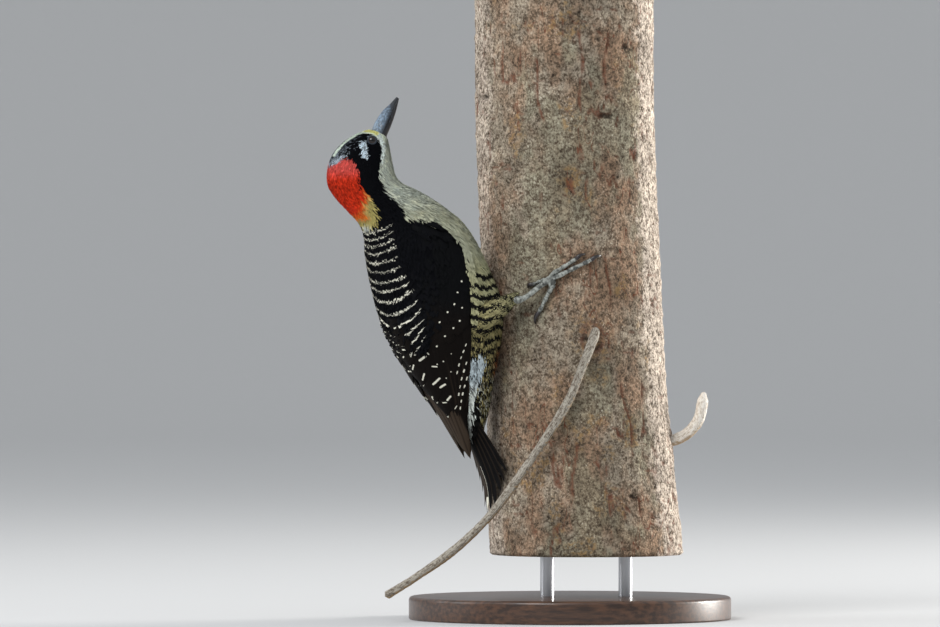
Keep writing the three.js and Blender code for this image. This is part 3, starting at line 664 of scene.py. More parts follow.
def nearest(surface, a_range, b_range, points, cells):
    """The surface parameters nearest to each point, and how far off it is.

    The nearest of a grid of samples comes first, then one step along the surface's two slopes to the
    foot of the perpendicular."""
    a, b = np.meshgrid(np.linspace(*a_range, cells[0]), np.linspace(*b_range, cells[1]), indexing="ij")
    a, b = a.ravel(), b.ravel()
    at = surface(a, b)
    half = (at * at).sum(1) / 2
    chunks = np.array_split(points, len(points) // 3000 + 1)
    best = np.concatenate([(half - chunk @ at.T).argmin(1) for chunk in chunks])
    a, b, gap = a[best], b[best], points - at[best]
    da, db = slopes(surface, a, b)
    aa, ab, bb = (da * da).sum(1), (da * db).sum(1), (db * db).sum(1)
    ga, gb = (gap * da).sum(1), (gap * db).sum(1)
    det = np.maximum(aa * bb - ab * ab, 1e-6)
    cell_a = (a_range[1] - a_range[0]) / (cells[0] - 1)
    cell_b = (b_range[1] - b_range[0]) / (cells[1] - 1)
    a = a + np.clip((bb * ga - ab * gb) / det, -cell_a, cell_a)
    b = b + np.clip((aa * gb - ab * ga) / det, -cell_b, cell_b)
    return a, b, length_of(gap)


# ---------- markings


def tone(red, green, blue):
    """A display colour, 0 to 255, as linear light."""
    c = np.array([red, green, blue]) / 255
    return np.where(c <= 0.04045, c / 12.92, ((c + 0.055) / 1.055) ** 2.4)


def blend(base, colour, mask):
    return base + (colour - base) * mask[..., None]


def painted(base, colour, where):
    """The base, with the colour wherever the condition holds."""
    return np.where(where[:, None], colour, base)


def read_off(table, at):
    """The second column of a table at places of its first, straight between its rows."""
    return np.interp(at, *np.transpose(table))


# Marks of the head in its side plane, mm: across (towards the viewer's right) and up.
EYE_AT = (-86.7, 207.3)
MASK_EDGE = np.array([  # height, and how far forward the black cheek reaches there
    [172, -71.5], [178.0, -73.7], [180.6, -75.6], [182.3, -78.6], [185.3, -80.1], [189.2, -81.9],
    [191.4, -82.9], [194.8, -82.6], [199.5, -82.1], [203.4, -81.8], [207, -83.2], [211.5, -85.6],
])
NAPE_EDGE = np.array([  # height, and how far forward the red nape reaches there
    [165, -89], [168, -86], [171, -84.4], [173, -83.8], [177.5, -85.2], [180.3, -86], [183.5, -88.2],
    [186.5, -90.8], [191.3, -91.8], [195.8, -93], [198, -94.6], [199, -97.4],
])
MANTLE_EDGE = np.array([  # height, and how far forward the mantle's pale bars reach there
    [112, -62], [125.5, -63.8], [133, -65], [138, -67], [143, -68.2], [149.5, -72.7], [153, -75],
    [162, -76.4], [172, -78],
])
RUMP_EDGE = np.array([  # height, and how far forward the white of the rump reaches there
    [76, -43.5], [88, -42.4], [97, -41.8], [101, -40.5], [108, -38.5], [114, -37.5],
])
# Heights of the pale bars down the middle of the mantle.
MANTLE_BARS = np.array([
    114.5, 118.5, 122.5, 127, 132, 137.5, 142, 145.5, 150, 154, 158, 161, 164, 167,
])


def side_plane(p, lean):
    """Where points fall in the bird's own three-quarter side view, the left side mirrored onto it."""
    u, w, z = to_bird(p)
    return u * math.cos(BIRD_TURN) + np.abs(w - lean) * math.sin(BIRD_TURN), z


def coat_colours(s, angle, colours, rng):
    """The base colour, the mark colour and the kind of bars of the coat at stations and angles.

    Kinds: 0 plain, 1 mantle bars, 2 belly chevrons, 3 fine dark bars."""
    p = body_surface(s, angle)
    across, z = side_plane(p, spline(BODY, s)[..., 5])
    ruffle = layered_noise(p / 2.2, 5, 3) - 0.5
    turn = np.abs((angle + math.pi) % TURN - math.pi)
    a = across + 1.6 * ruffle + rng.normal(0, 0.25, len(s))
    h = z + 1.4 * (layered_noise(p / 2.6, 9, 3) - 0.5) + rng.normal(0, 0.2, len(s))

    # underside: throat, breast and belly
    base = blend(colours.throat, colours.breast, smoothstep(h, 186, 172))
    base = blend(base, colours.flank, smoothstep(h, 166, 145))
    base = blend(base, colours.belly, smoothstep(h, 140, 122))
    cloud = layered_noise(p / (3.5, 3.5, 5.0), 33, 4)
    base = base * (1 + 0.5 * (cloud - 0.5) + 0.7 * ruffle)[:, None]
    base = base * (1 + 0.12 * ruffle[:, None] * (1, 0, -1.5))
    red = smoothstep(turn, 2.15, 2.6) * smoothstep(h, 120, 115) * smoothstep(h, 104, 108)
    base = blend(base, colours.belly_red, red * 0.8)
    mottled = smoothstep(h, 130, 114)
    dice = rng.random(len(s))
    base = blend(base, colours.bar_dark, 0.75 * mottled * (dice < 0.34))
    base = blend(base, colours.rump, 0.6 * smoothstep(h, 112, 104) * (dice > 0.72))
    kind = np.where(h < 151.5, np.where(rng.random(len(s)) < 0.5 * mottled, 3, 2), 0)

    # rump and uppertail coverts, between the wings and over the tail
    edge = a - read_off(RUMP_EDGE, h)
    rump = smoothstep(h, 116, 111) * smoothstep(edge, 0.6, -0.6) > 0.5
    cloudy = blend(colours.rump, colours.bar_dark, 0.7 * (dice < 0.24))
    bluish = smoothstep(h, 98, 104)[:, None] * (-0.25, -0.16, 0.0)
    base = painted(base, cloudy * (1.3 + bluish), rump)
    kind = np.where(rump, np.where(rng.random(len(s)) < 0.2, 3, 0), kind)
    wedge = (edge > 0) & (h < 98.5) & (edge < np.interp(h, [76, 84, 98], [8.0, 4.4, 0.8]))
    base = painted(base, colours.tail, wedge)

    # the black upper side, with the barred mantle
    cheek = read_off(MASK_EDGE, h)
    reach = np.interp(h, [112, 120, 130, 143, 165, 172], [1.45, 1.5, 1.56, 1.64, 1.6, 1.5])
    dark = ((a < cheek) & (h > 172)) | ((h <= 172) & (h > 112) & (turn < reach))
    base = painted(base, colours.black, dark)
    kind = np.where(dark, np.where(h < 172, 1, 0), kind)

    # crown: a pale band over the forecrown, mottled behind it
    middle = np.abs(np.sin(angle)) * spline(BODY, s)[..., 4]
    on_top = np.cos(angle) > 0
    # the pale band is partly the real pale forecrown and partly a painted highlight on the crown's rim
    band = on_top & (s < 3.2) & (middle < lerp(2.4, 1.4, smoothstep(s, 0.5, 3.0)) + 1.5 * ruffle)
    base = painted(base, colours.crown * (1.75, 1.7, 1.3), band)
    # the flecks along the midline are partly real pale tips and partly a painted rim highlight
    flecks = smoothstep(middle, 10, 3) * (0.12 + 0.38 * smoothstep(s, 1.6, 3.4))
    flecked_and_highlit = on_top & (s > 1.2) & (s < 4.2) & ~band & (rng.random(len(s)) < flecks)
    base = painted(base, lerp(base, colours.crown, 0.5), flecked_and_highlit)
    spot = np.abs(h - 199.3 - 0.58 * (a + 99)) < 0.9 + ruffle
    spot &= (a < -98.5) & (h > 190) & (dice < 0.6)
    base = painted(base, colours.crown, spot)

    # forehead and the pale stripe between the eye and the throat
    pale = (s < 1.04 + 0.5 * ruffle) & (np.cos(angle) > -0.6)
    glow = smoothstep(s, 1.5, 0.6) * smoothstep(np.cos(angle), -0.7, 0.1)
    base = painted(base, blend(colours.throat, colours.crown * (2.05, 1.9, 1.4), glow), pale)
    stripe = (a > cheek) & (a < cheek + np.interp(h, [197, 208], [0.9, 2.0]) + 1.2 * ruffle) & (h > 196.5)
    base = painted(base, colours.white * (1.3, 1.2, 1.05), stripe)
    gold = (s < 0.78 + 0.5 * ruffle) & (np.cos(angle) > 0.42)
    base = painted(base, colours.gold, gold)

    # white spot behind the eye
    da, dh = a - EYE_AT[0] + 2.8, h - EYE_AT[1] + 4.6
    lean = 0.24
    long = (-dh * math.cos(lean) + da * math.sin(lean)) / 4.0
    short = (da * math.cos(lean) + dh * math.sin(lean)) / 1.85
    white = long**2 + short**2 < 1
    base = painted(base, colours.white * lerp(1, 0.3, dice < 0.28)[:, None], white)

    # red nape that fades through orange and buff to the mantle
    inside = read_off(NAPE_EDGE, h) - a
    nape = (inside > 0) & (h < 199 - 0.58 * np.clip(-97.5 - a, 0, 9))
    nape &= h > 167.5 + 2.5 * smoothstep(a, -88, -85)
    rim = lerp(0.7, 8.0, smoothstep(h, 186, 174))
    low = smoothstep(h, 187, 181)
    # painted highlight on the nape's top, then painted shade up to 30% in a band near 186.5 mm
    shade = blend(colours.nape, colours.crown, 0.1 * smoothstep(h, 189, 195))
    shade = shade * (1 - 0.3 * gauss(h - 186.5, 5))[:, None]
    shade = blend(shade, colours.orange, low * smoothstep(inside, 1.15 * rim, 0.6 * rim))
    shade = blend(shade, colours.buff, smoothstep(inside, 0.95 * rim, 0.4 * rim) * smoothstep(h, 185, 180))
    shade = blend(shade, colours.orange, smoothstep(h, 176, 173) * smoothstep(inside, 3, 6))
    shade = blend(shade, colours.buff, smoothstep(h, 174, 171.5))
    shade = blend(shade, colours.rump, smoothstep(h, 171, 169) * smoothstep(a, -86.5, -89))
    shade = shade * (1 + 0.25 * rng.normal(0, 1, (len(s), 1)) * (h > 178)[:, None]).clip(0.4, 1.6)
    base = painted(base, shade, nape)
    kind = np.where(nape, 0, kind)

    mark = painted(colours.bar_dark, colours.bar_pale, kind == 1)
    uneven = np.where(dark | nape | (h < 168), 0.1, 0.25)[:, None]
    base = base * (1 + uneven * rng.normal(0, 1, (len(s), 1))).clip(0.5, 1.45)
    return base, mark, kind


def coat_bars(points, kind, marks, rng):
    """The bars of the coat's feathers: one (coordinate, width, 0) to each point."""
    per = len(points) // len(kind)
    u, w, z = to_bird(points)
    # the mantle's bars sag to their lowest a little to the right of the back's midline
    lowest = BODY_LEAN + 5.5 * smoothstep(z, 166, 150)
    around = np.arctan2(w - lowest, np.maximum(-(u + 68), 0.1))
    lift = 7.6 * np.clip(np.abs(around) / 0.8, 0, 1.3) ** 1.9 * np.where(around < 0, 1.25, 1)
    wobble = 0.9 * (layered_noise(points / 3.0, 21, 2) - 0.5)
    jitter = np.repeat(rng.normal(0, 1, len(kind)), per)
    heights = np.concatenate([MANTLE_BARS[:1] - 1.6, MANTLE_BARS, MANTLE_BARS[-1:] + 1.6])
    count = np.concatenate([[-0.5], np.arange(len(MANTLE_BARS)), [len(MANTLE_BARS) - 0.5]])
    mantle = np.interp(z - lift + wobble + 0.35 * jitter, heights, count)
    # chevrons are rows of shallow Vs whose points lie under one another
    a, _z = side_plane(points, BODY_LEAN)
    across = np.abs(((a + 38) / 11.5 + 0.5) % 1 - 0.5) * 2
    chevron = (147.8 - z + 1.6 * wobble + 0.35 * jitter) / 4.6 + 0.45 * across
    fine = 2.3 * marks[:, 0] + 0.2 * jitter
    which = np.repeat(kind, per)
    coordinate = np.choose(which, [0.5, mantle, chevron, fine])
    width = np.choose(which, [0.0, 0.16, 0.52, 0.3])
    width = width * np.repeat(np.clip(rng.normal(1, 0.24, len(kind)), 0.3, 1.6), per)
    broken = 0.6 * smoothstep(layered_noise(points / 3.4, 27, 2), 0.5, 0.6)
    outside = smoothstep(a - read_off(MANTLE_EDGE, z), -1.5, 1.0)
    fades = np.where(which == 1, (1 - broken) * (1 - outside), 1.0)
    return stacked(coordinate, width * fades, 0)


# ---------- materials


class Value:
    """A shader socket that is reckoned with like a number. Each step adds one node to its tree."""

    def __init__(self, tree, socket):
        self.tree = tree
        self.socket = socket

    def through(self, kind, inputs, output=0, **settings):
        """The output of a new node of that kind: inputs are its sockets by name or number."""
        node = self.tree.nodes.new("ShaderNode" + kind)
        for name, setting in settings.items():
            setattr(node, name, setting)
        for name, value in inputs.items():
            wire(node.inputs[name], value)
        return Value(self.tree, node.outputs[output])

    def maths(self, operation, *others, clamp=False):
        inputs = dict(enumerate((self, *others)))
        return self.through("Math", inputs, operation=operation, use_clamp=clamp)

    def __add__(self, other):
        return self.maths("ADD", other)

    def __sub__(self, other):
        return self.maths("SUBTRACT", other)

    def __mul__(self, other):
        return self.maths("MULTIPLY", other)

    def __abs__(self):
        return self.maths("ABSOLUTE")

    def ramp(self, low, high):
        """0 below low and 1 above high, smoothly between."""
        inputs = dict(enumerate((self, low, high, 0.0, 1.0)))
        return self.through("MapRange", inputs, interpolation_type="SMOOTHSTEP")

    def mix(self, a, b):
        """The colour a where this is 0, and b where it is 1."""
        return self.through("Mix", {0: self, 6: a, 7: b}, 2, data_type="RGBA")

    def scaled(self, factor):
        return self.through("VectorMath", {0: self, "Scale": factor}, operation="SCALE")

    def stretched(self, *scale):
        return self.through("Mapping", {"Vector": self, "Scale": scale})

    def noise(self, scale, detail=3.0, roughness=0.55):
        inputs = {"Vector": self, "Scale": scale, "Detail": detail, "Roughness": roughness}
        return self.through("TexNoise", inputs, "Fac")

    def parts(self):
        """The three numbers of a vector or colour."""
        node = self.through("SeparateXYZ", {0: self}).socket.node
        return [Value(self.tree, output) for output in node.outputs]


def wire(socket, value):
    """Links a socket to a Value's, or sets it to a number, a vector or an opaque colour."""
    if isinstance(value, Value):
        value.tree.links.new(value.socket, socket)
    elif socket.type == "RGBA":
        socket.default_value = (*value, 1.0)
    else:
        socket.default_value = value


def object_coordinates(tree):
    return Value(tree, tree.nodes.new("ShaderNodeTexCoord").outputs["Object"])


def attribute(tree, name, output):
    node = tree.nodes.new("ShaderNodeAttribute")
    node.attribute_name = name
    return Value(tree, node.outputs[output])


def new_group(name, inputs, outputs):
    """An empty node group, with the kind of each named socket."""
    tree = bpy.data.node_groups.new(name, "ShaderNodeTree")
    for way, sockets in (("INPUT", inputs), ("OUTPUT", outputs)):
        for label, kind in sockets.items():
            tree.interface.new_socket(label, in_out=way, socket_type="NodeSocket" + kind)
    given = {socket.name: Value(tree, socket) for socket in tree.nodes.new("NodeGroupInput").outputs}
    return tree, given, tree.nodes.new("NodeGroupOutput").inputs


def vane_group():
    """Bars, barb streaks and shaft of a feather, from its own coordinates, with painted shade
    that darkens its edges and its root.
    """
    name = "Feather Vane"
    if name in bpy.data.node_groups:
        return bpy.data.node_groups[name]
    tree, given, out = new_group(
        name,
        {"Base": "Color", "Mark": "Color", "Vane": "Vector", "Bars": "Vector", "Streaks": "Float"},
        {"Colour": "Color", "Height": "Float"},
    )
    x, y, seed = given["Vane"].parts()
    coordinate, width, _spare = given["Bars"].parts()
    side = abs(y)
    wander = object_coordinates(tree).noise(1400.0, 2.0) * 0.16 + coordinate
    off = abs((wander + 0.42).maths("FRACT") - 0.5)
    bar = ((width * 0.5 - off) * 22.0).maths("ADD", 0.5, clamp=True)
    mask = bar * width.ramp(0.01, 0.05)
    own = x.through("CombineXYZ", {0: x * 2.2 + side, 1: y * 8.0, 2: seed * 60.0})
    streak = own.noise(2.4, 3.0, 0.6)
    shade = (streak - 0.5) * given["Streaks"] + 1.0
    # painted shade: up to 12% darker towards the vane's edges and 20% darker towards its root
    shade = shade * (side.ramp(0.7, 1.0) * -0.12 + 1.0) * (x.ramp(0.0, 0.7) * 0.2 + 0.8)
    wire(out["Colour"], mask.mix(given["Base"], given["Mark"]).scaled(shade))
    ridge = side.ramp(0.0, 0.12) * -1.0 + 1.0
    wire(out["Height"], ridge * 0.6 + streak)
    return tree


def new_material(name, roughness, specular=0.4, coat=0.0, metallic=0.0):
    """A material and its tree; constants sit on its Principled shader's sockets."""
    material = bpy.data.materials.new(name)
    material.use_nodes = True
    shader = material.node_tree.nodes["Principled BSDF"]
    shader.inputs["Roughness"].default_value = roughness
    shader.inputs["Specular IOR Level"].default_value = specular
    shader.inputs["Coat Weight"].default_value = coat
    shader.inputs["Coat Roughness"].default_value = 0.05
    shader.inputs["Metallic"].default_value = metallic
    return material, material.node_tree


def finished(material, colour, height=None, strength=0.0, distance=0.0):
    """The material, once its shader has its colour and a bump of that distance in metres."""
    shader = material.node_tree.nodes["Principled BSDF"]
    wire(shader.inputs["Base Color"], colour)
    if strength:
        inputs = {"Height": height, "Strength": strength, "Distance": distance}
        wire(shader.inputs["Normal"], height.through("Bump", inputs))
    return material


def feather_material(name, roughness=0.75, streaks=0.55, specular=0.05):
    if name in bpy.data.materials:
        return bpy.data.materials[name]
    material, tree = new_material(name, roughness, specular)
    vane = tree.nodes.new("ShaderNodeGroup")
    vane.node_tree = vane_group()
    for label, output in (("Base", "Color"), ("Mark", "Color"), ("Vane", "Vector"), ("Bars", "Vector")):
        wire(vane.inputs[label], attribute(tree, label.lower(), output))
    vane.inputs["Streaks"].default_value = streaks
    colour, height = (Value(tree, output) for output in vane.outputs)
    return finished(material, colour, height, 0.35, 0.0002)


def painted_material(name, roughness, grain, grain_scale, coat, specular, bump_strength):
    """Takes its colour from the piece's base attribute, with a fine grain over it."""
    material, tree = new_material(name, roughness, specular, coat)
    fine = object_coordinates(tree).noise(grain_scale, 4.0)
    shade = (fine - 0.5) * grain + 1.0
    return finished(material, attribute(tree, "base", "Color").scaled(shade), fine, bump_strength, 0.0001)


def bark_material(colours):
    """Granular grey-brown bark with grey-green and ochre patches, dark pits and reddish cracks,
    with painted light on its lit sides and rings of painted shade round the branches' roots.
    """
    material, tree = new_material("Bark", 0.92, 0.15)
    where = object_coordinates(tree)
    crack_and_root_shade, lichen, ochre = attribute(tree, "bark", "Color").parts()
    lit_sides = attribute(tree, "bark", "Alpha")
    broad = where.noise(70.0, 3.0, 0.6)
    warm = where.stretched(1.0, 1.0, 0.6).noise(38.0, 4.0, 0.7)
    grains = where.stretched(1.0, 1.0, 0.8).noise(1250.0, 3.0, 0.7)
    clumps = where.noise(430.0, 3.0, 0.65)
    both = clumps * 0.45 + grains * 0.55
    light = warm.ramp(0.42, 0.6).mix(colours.bark_light, colours.bark_pink)
    light = (lichen * 0.55).mix(light, colours.lichen)
    light = (ochre * clumps.ramp(0.45, 0.6)).mix(light, colours.bark_ochre)
    # painted light: the bark of the lit sides is mixed towards a pale cream
    light = lit_sides.mix(light, colours.bark_lit)
    colour = both.ramp(0.38, 0.62).mix(colours.bark_dark, light)
    speck = grains.ramp(0.6, 0.7) * broad.ramp(0.4, 0.6)
    colour = (speck * 0.55).mix(colour, colours.bark_speck).scaled(broad * 1.3 + 0.37)
    pits = clumps.ramp(0.37, 0.3) * broad.ramp(0.5, 0.42)
    colour = (pits * 0.75).mix(colour, colours.bark_pit_and_shade)
    veins = where.stretched(1.0, 1.0, 0.3).noise(62.0, 3.0, 0.6)
    veins = abs(veins - 0.5).ramp(0.006, 0.001) * warm.ramp(0.5, 0.56)
    # painted shade: the crack mask also holds a reddish ring round each branch's root
    resin_and_root_shade = veins.maths("MAXIMUM", crack_and_root_shade * grains.ramp(0.35, 0.5))
    colour = (resin_and_root_shade * 0.8).mix(colour, colours.bark_crack_and_shade)
    # painted shade: the knot mask also holds a dark ring close round each branch's root
    knot_and_root_shade = attribute(tree, "knot_and_root_shade", "Vector").parts()[0] * clumps.ramp(0.66, 0.46)
    return finished(material, (knot_and_root_shade * 0.85).mix(colour, colours.bark_pit_and_shade), both, 1.0, 0.0012)


def dead_wood_material(name, light, dark, under):
    """Bare weathered wood with long fine streaks along the piece, from its vane attribute, and with
    crumbs of ochre bark left on its underside."""
    material, tree = new_material(name, 0.85, 0.25)
    streaks = attribute(tree, "vane", "Vector").stretched(2.0, 1.6, 1.6).noise(4.0, 4.0, 0.65)
    fine = object_coordinates(tree).noise(900.0, 4.0, 0.6)
    both = streaks * 0.6 + fine * 0.4
    up = fine.through("NewGeometry", {}, "Normal").parts()[2]
    crumbs = (fine * 1.6 - up).ramp(1.15, 1.4)
    colour = (crumbs * 0.75).mix(both.ramp(0.4, 0.56).mix(dark, light), under)
    return finished(material, colour, both, 0.9, 0.0004)


def cut_material(colours):
    """Sawn wood with growth rings about the trunk's axis."""
    material, tree = new_material("Cut Wood", 0.8, 0.25)
    where = object_coordinates(tree)
    x, y, _z = where.parts()
    rings = where.noise(30.0, 3.0) * 3.0 + (x * x + y * y).maths("SQRT") * 700.0
    fine = where.noise(900.0, 4.0)
    dark = rings.maths("FRACT").ramp(0.45, 1.0).maths("MULTIPLY", fine + 0.3, clamp=True)
    return finished(material, dark.mix(colours.cut_light, colours.cut_dark), fine, 0.4, 0.0003)


def base_wood_material(colours):
    """Dark satin wood whose grain runs across the base."""
    material, tree = new_material("Base Wood", 0.38, 0.5, coat=0.25)
    where = object_coordinates(tree)
    grain = where.stretched(18.0, 190.0, 190.0).noise(3.0, 5.0, 0.6)
    pores = where.stretched(60.0, 1500.0, 1500.0).noise(1.0, 2.0)
    colour = grain.ramp(0.35, 0.65).mix(colours.wood_dark, colours.wood_light)
    return finished(material, colour.scaled(pores * 0.5 + 0.75), pores, 0.1, 0.0002)


def plain_material(name, colour, roughness, metallic=0.0):
    return finished(new_material(name, roughness, metallic=metallic)[0], colour)


# ---------- settings


def tint(name, description, red, green, blue):
    linear = tuple(float(v) for v in tone(red, green, blue))
    return bpy.props.FloatVectorProperty(
        name=name, description=description, default=linear, subtype="COLOR", size=3, min=0, max=1
    )


class WoodpeckerPlumage(bpy.types.PropertyGroup):
    """Colours of the bird"""

    gold: tint("Forehead", "Golden feathers over the bill", 255, 252, 176)
    crown: tint("Crown", "Pale feathers of the forecrown and the flecks behind it", 178, 190, 202)
    black: tint("Black", "Cheek, crown, neck side and mantle", 8, 9, 13)
    white: tint("Eye spot", "White spot behind the eye", 208, 224, 234)
    nape: tint("Nape", "Red nape", 204, 52, 26)
    orange: tint("Nape edge", "Orange edge of the nape", 222, 112, 36)
    buff: tint("Hind neck", "Buff feathers under the nape", 172, 160, 98)
    throat: tint("Throat", "Pale throat", 186, 192, 178)
    breast: tint("Breast", "Greyish breast", 166, 168, 146)
    flank: tint("Flank", "Flank between its bars", 184, 182, 142)
    belly: tint("Belly", "Olive-yellow belly", 160, 150, 104)
    belly_red: tint("Belly patch", "Reddish patch on the lower belly", 156, 78, 40)
    rump: tint("Rump", "White rump", 196, 202, 196)
    bar_pale: tint("Pale bars", "Bars of the mantle and spots of the wings", 222, 220, 204)
    bar_dark: tint("Dark bars", "Chevrons of the flanks and belly", 26, 25, 24)
    wing: tint("Wing", "Black of the wing", 7, 8, 10)
    wing_brown: tint("Wing brown", "Brown of the lower wing", 17, 13, 11)
    primaries: tint("Primaries", "Brown tips of the wing", 62, 52, 43)
    tail: tint("Tail", "Black of the tail", 8, 7, 8)
    eye: tint("Iris", "Dark brown iris", 28, 15, 10)
    eye_ring: tint("Eye ring", "Bare ring round the eye", 32, 43, 54)
    bill: tint("Bill", "Slate bill", 36, 40, 47)
    # partly the upper mandible's own bluish grey, partly a painted reflection of the sky
    bill_blue_and_reflection: tint("Bill light", "Bluish grey on the upper mandible", 116, 136, 156)
    foot: tint("Foot", "Blue-grey toes", 154, 158, 152)
    claw: tint("Claw", "Dark claws", 40, 35, 36)


PLUMAGE_COLOURS = tuple(WoodpeckerPlumage.__annotations__)


class WoodpeckerPerch(bpy.types.PropertyGroup):
    """Colours of the perch, the stand and the stage"""

    bark_dark: tint("Dark bark", "Darker bark", 80, 68, 56)
    bark_light: tint("Light bark", "Lighter bark", 168, 156, 138)
    bark_pink: tint("Pink bark", "Warmer, pinkish bark", 164, 136, 112)
    # painted sunlight on the trunk's lit side
    bark_lit: tint("Bleached bark", "Sun-bleached bark of one side", 224, 209, 193)
    # also painted shade in a dark ring round each branch's root
    bark_pit_and_shade: tint("Pits", "Dark pits of the bark", 38, 31, 25)
    bark_ochre: tint("Ochre bark", "Ochre patches", 152, 122, 80)
    bark_speck: tint("Bark specks", "Pale specks", 214, 208, 192)
    # also painted shade in a reddish ring round each branch's root
    bark_crack_and_shade: tint("Cracks", "Resin in the cracks", 110, 62, 44)
    lichen: tint("Lichen", "Greenish-grey lichen", 144, 144, 122)
    twig_light: tint("Twig", "Weathered twig", 168, 162, 150)
    twig_dark: tint("Twig cracks", "Darker streaks of the twig", 92, 80, 68)
    # near white: partly the stub's weathered wood, partly painted sunlight
    stub_light: tint("Stub", "Bleached stub", 238, 233, 224)
    stub_dark: tint("Stub streaks", "Darker streaks of the stub", 188, 176, 160)
    cut_light: tint("Cut wood", "Fresh wood of the sawn ends", 196, 164, 122)
    cut_dark: tint("Growth rings", "Rings of the sawn ends", 146, 108, 70)
    wood_light: tint("Base grain", "Lighter grain of the base", 84, 56, 38)
    wood_dark: tint("Base wood", "Darker wood of the base", 46, 29, 20)
    steel: tint("Steel", "Rods of the stand", 186, 188, 192)
    floor: tint("Floor", "Floor and backdrop", 202, 203, 204)


class WoodpeckerSizes(bpy.types.PropertyGroup):
    """Sizes of the coat"""

    cover: bpy.props.FloatProperty(
        name="Cover", description="How many feathers lie over each spot of the coat", default=10.5, min=1,
        max=15,
    )
    head_tuft: bpy.props.FloatProperty(
        name="Face tuft", description="Length of the smallest tufts", default=1.7 * MM, min=0.5 * MM,
        max=5 * MM, unit="LENGTH",
    )
    body_tuft: bpy.props.FloatProperty(
        name="Body feather", description="Length of the body's feathers", default=7.5 * MM, min=2 * MM,
        max=15 * MM, unit="LENGTH",
    )


def plumage(context):
    """The bird's colours as arrays."""
    given = context.scene.woodpecker_plumage
    return types.SimpleNamespace(**{name: np.array(getattr(given, name)) for name in PLUMAGE_COLOURS})


# ---------- the coat and the skin

# Each stretch of the coat: its name, the node it stands for, and its first and last station.
REGIONS = (
    ("face", "head", 0.0, 2.6), ("nape", "head", 2.6, 4.6), ("neck", "neck", 4.6, 7.5),
    ("breast", "breast", 7.5, 10.6), ("belly", "belly", 10.6, 14.4), ("rump", "rump", 14.4, 18.6),
)


def eye_centre(side):
    """The eye's place: EYE_SUNK below the coat's surface, towards the middle of its section."""
    at = body_surface(np.float64(EYE_STATION), side * EYE_ANGLE)
    return at + unit(section_middle(EYE_STATION) - at) * EYE_SUNK


def feather_sizes(s, sizes):
    """Length and width of the coat's feathers at stations s, mm."""
    short, long = sizes.head_tuft / MM, sizes.body_tuft / MM
    stations = [0, 2, 4, 6, 8, 10, 16, 19]
    length = short + (long - short) * np.interp(s, stations, [0, 0.12, 0.32, 0.55, 0.8, 1.0, 1.2, 1.1])
    width = np.interp(s, stations, [0.24, 0.22, 0.18, 0.16, 0.14, 0.13, 0.14, 0.15]) * length
    return length, width


def skin_depth(s):
    return np.interp(s, [0, 2, 6, 9, 19], [0.45, 0.6, 1.0, 1.5, 1.4])


def body_uv(s, angle):
    """The body's part of the skin's unwrap."""
    return s / BODY_END * 0.8, angle / TURN + 0.5


def thigh_uv(side, t, angle):
    """A thigh's own corner of the skin's unwrap."""
    return 0.83 + 0.15 * t, (angle % TURN) / TURN * 0.46 + (0.02 if side > 0 else 0.52)


def under_wings(points, edge=0.9):
    """Which points lie under a folded wing, down to that share of the way round."""
    edge = np.where(points[:, 2] < 114, 0.99, edge)
    hidden = np.zeros(len(points), bool)
    for _name, side in SIDES:
        t, v, off = nearest(wing_surface(side), (0, WING_END), (0, 1), points, (90, 40))
        hidden |= (t > 0.5) & (t < 8.5) & (v > wing_start(t) + 0.1) & (v < edge) & (off < 9)
    return hidden


def body_coat(s_range, colours, sizes, seed, grid):
    """The feathers that grow between two stations of the body."""
    rng = np.random.default_rng(seed)

    def density(s, _angle):
        length, width = feather_sizes(s, sizes)
        return sizes.cover / (length * width)

    s, angle = scatter(body_surface, s_range, (-math.pi, math.pi), density, rng)
    per = length_of(slopes(body_surface, s, angle)[0])
    length, width = feather_sizes(s, sizes)
    length = length * rng.normal(1, 0.13, len(s)).clip(0.6, 1.4)
    tip = np.minimum(s + 0.75 * length / np.maximum(per, 1), BODY_END)
    at_tip = body_surface(tip, angle)
    keep = ~under_wings(at_tip)
    for _name, side in SIDES:
        for share in (0.0, 0.5, 1.0):
            at = body_surface(lerp(s, tip, share), angle)
            keep &= length_of(at - eye_centre(side)) > EYE_CLEARING
    s, angle, tip, length, width = (k[keep] for k in (s, angle, tip, length, width))
    feathers = vanes(
        body_surface, s, angle, (length, width), rng, grid,
        turn=rng.normal(0, 0.13, len(s)),
        sunk=skin_depth(s) + 0.2,
        proud=np.interp(s, [0, 4, 9, 14, 19], [0.06, 0.12, 0.16, 0.35, 0.5]) * rng.random(len(s)),
        fray=0.1,
    )
    base, mark, kind = coat_colours(tip, angle, colours, rng)
    bars = coat_bars(feathers[0], kind, feathers[2], rng)
    feathers = (off_trunk(feathers[0]), *feathers[1:])
    uv = tuft_uv(*body_uv(s, angle), feathers[2])
    return dressed(feathers, base, mark, bars, uv)


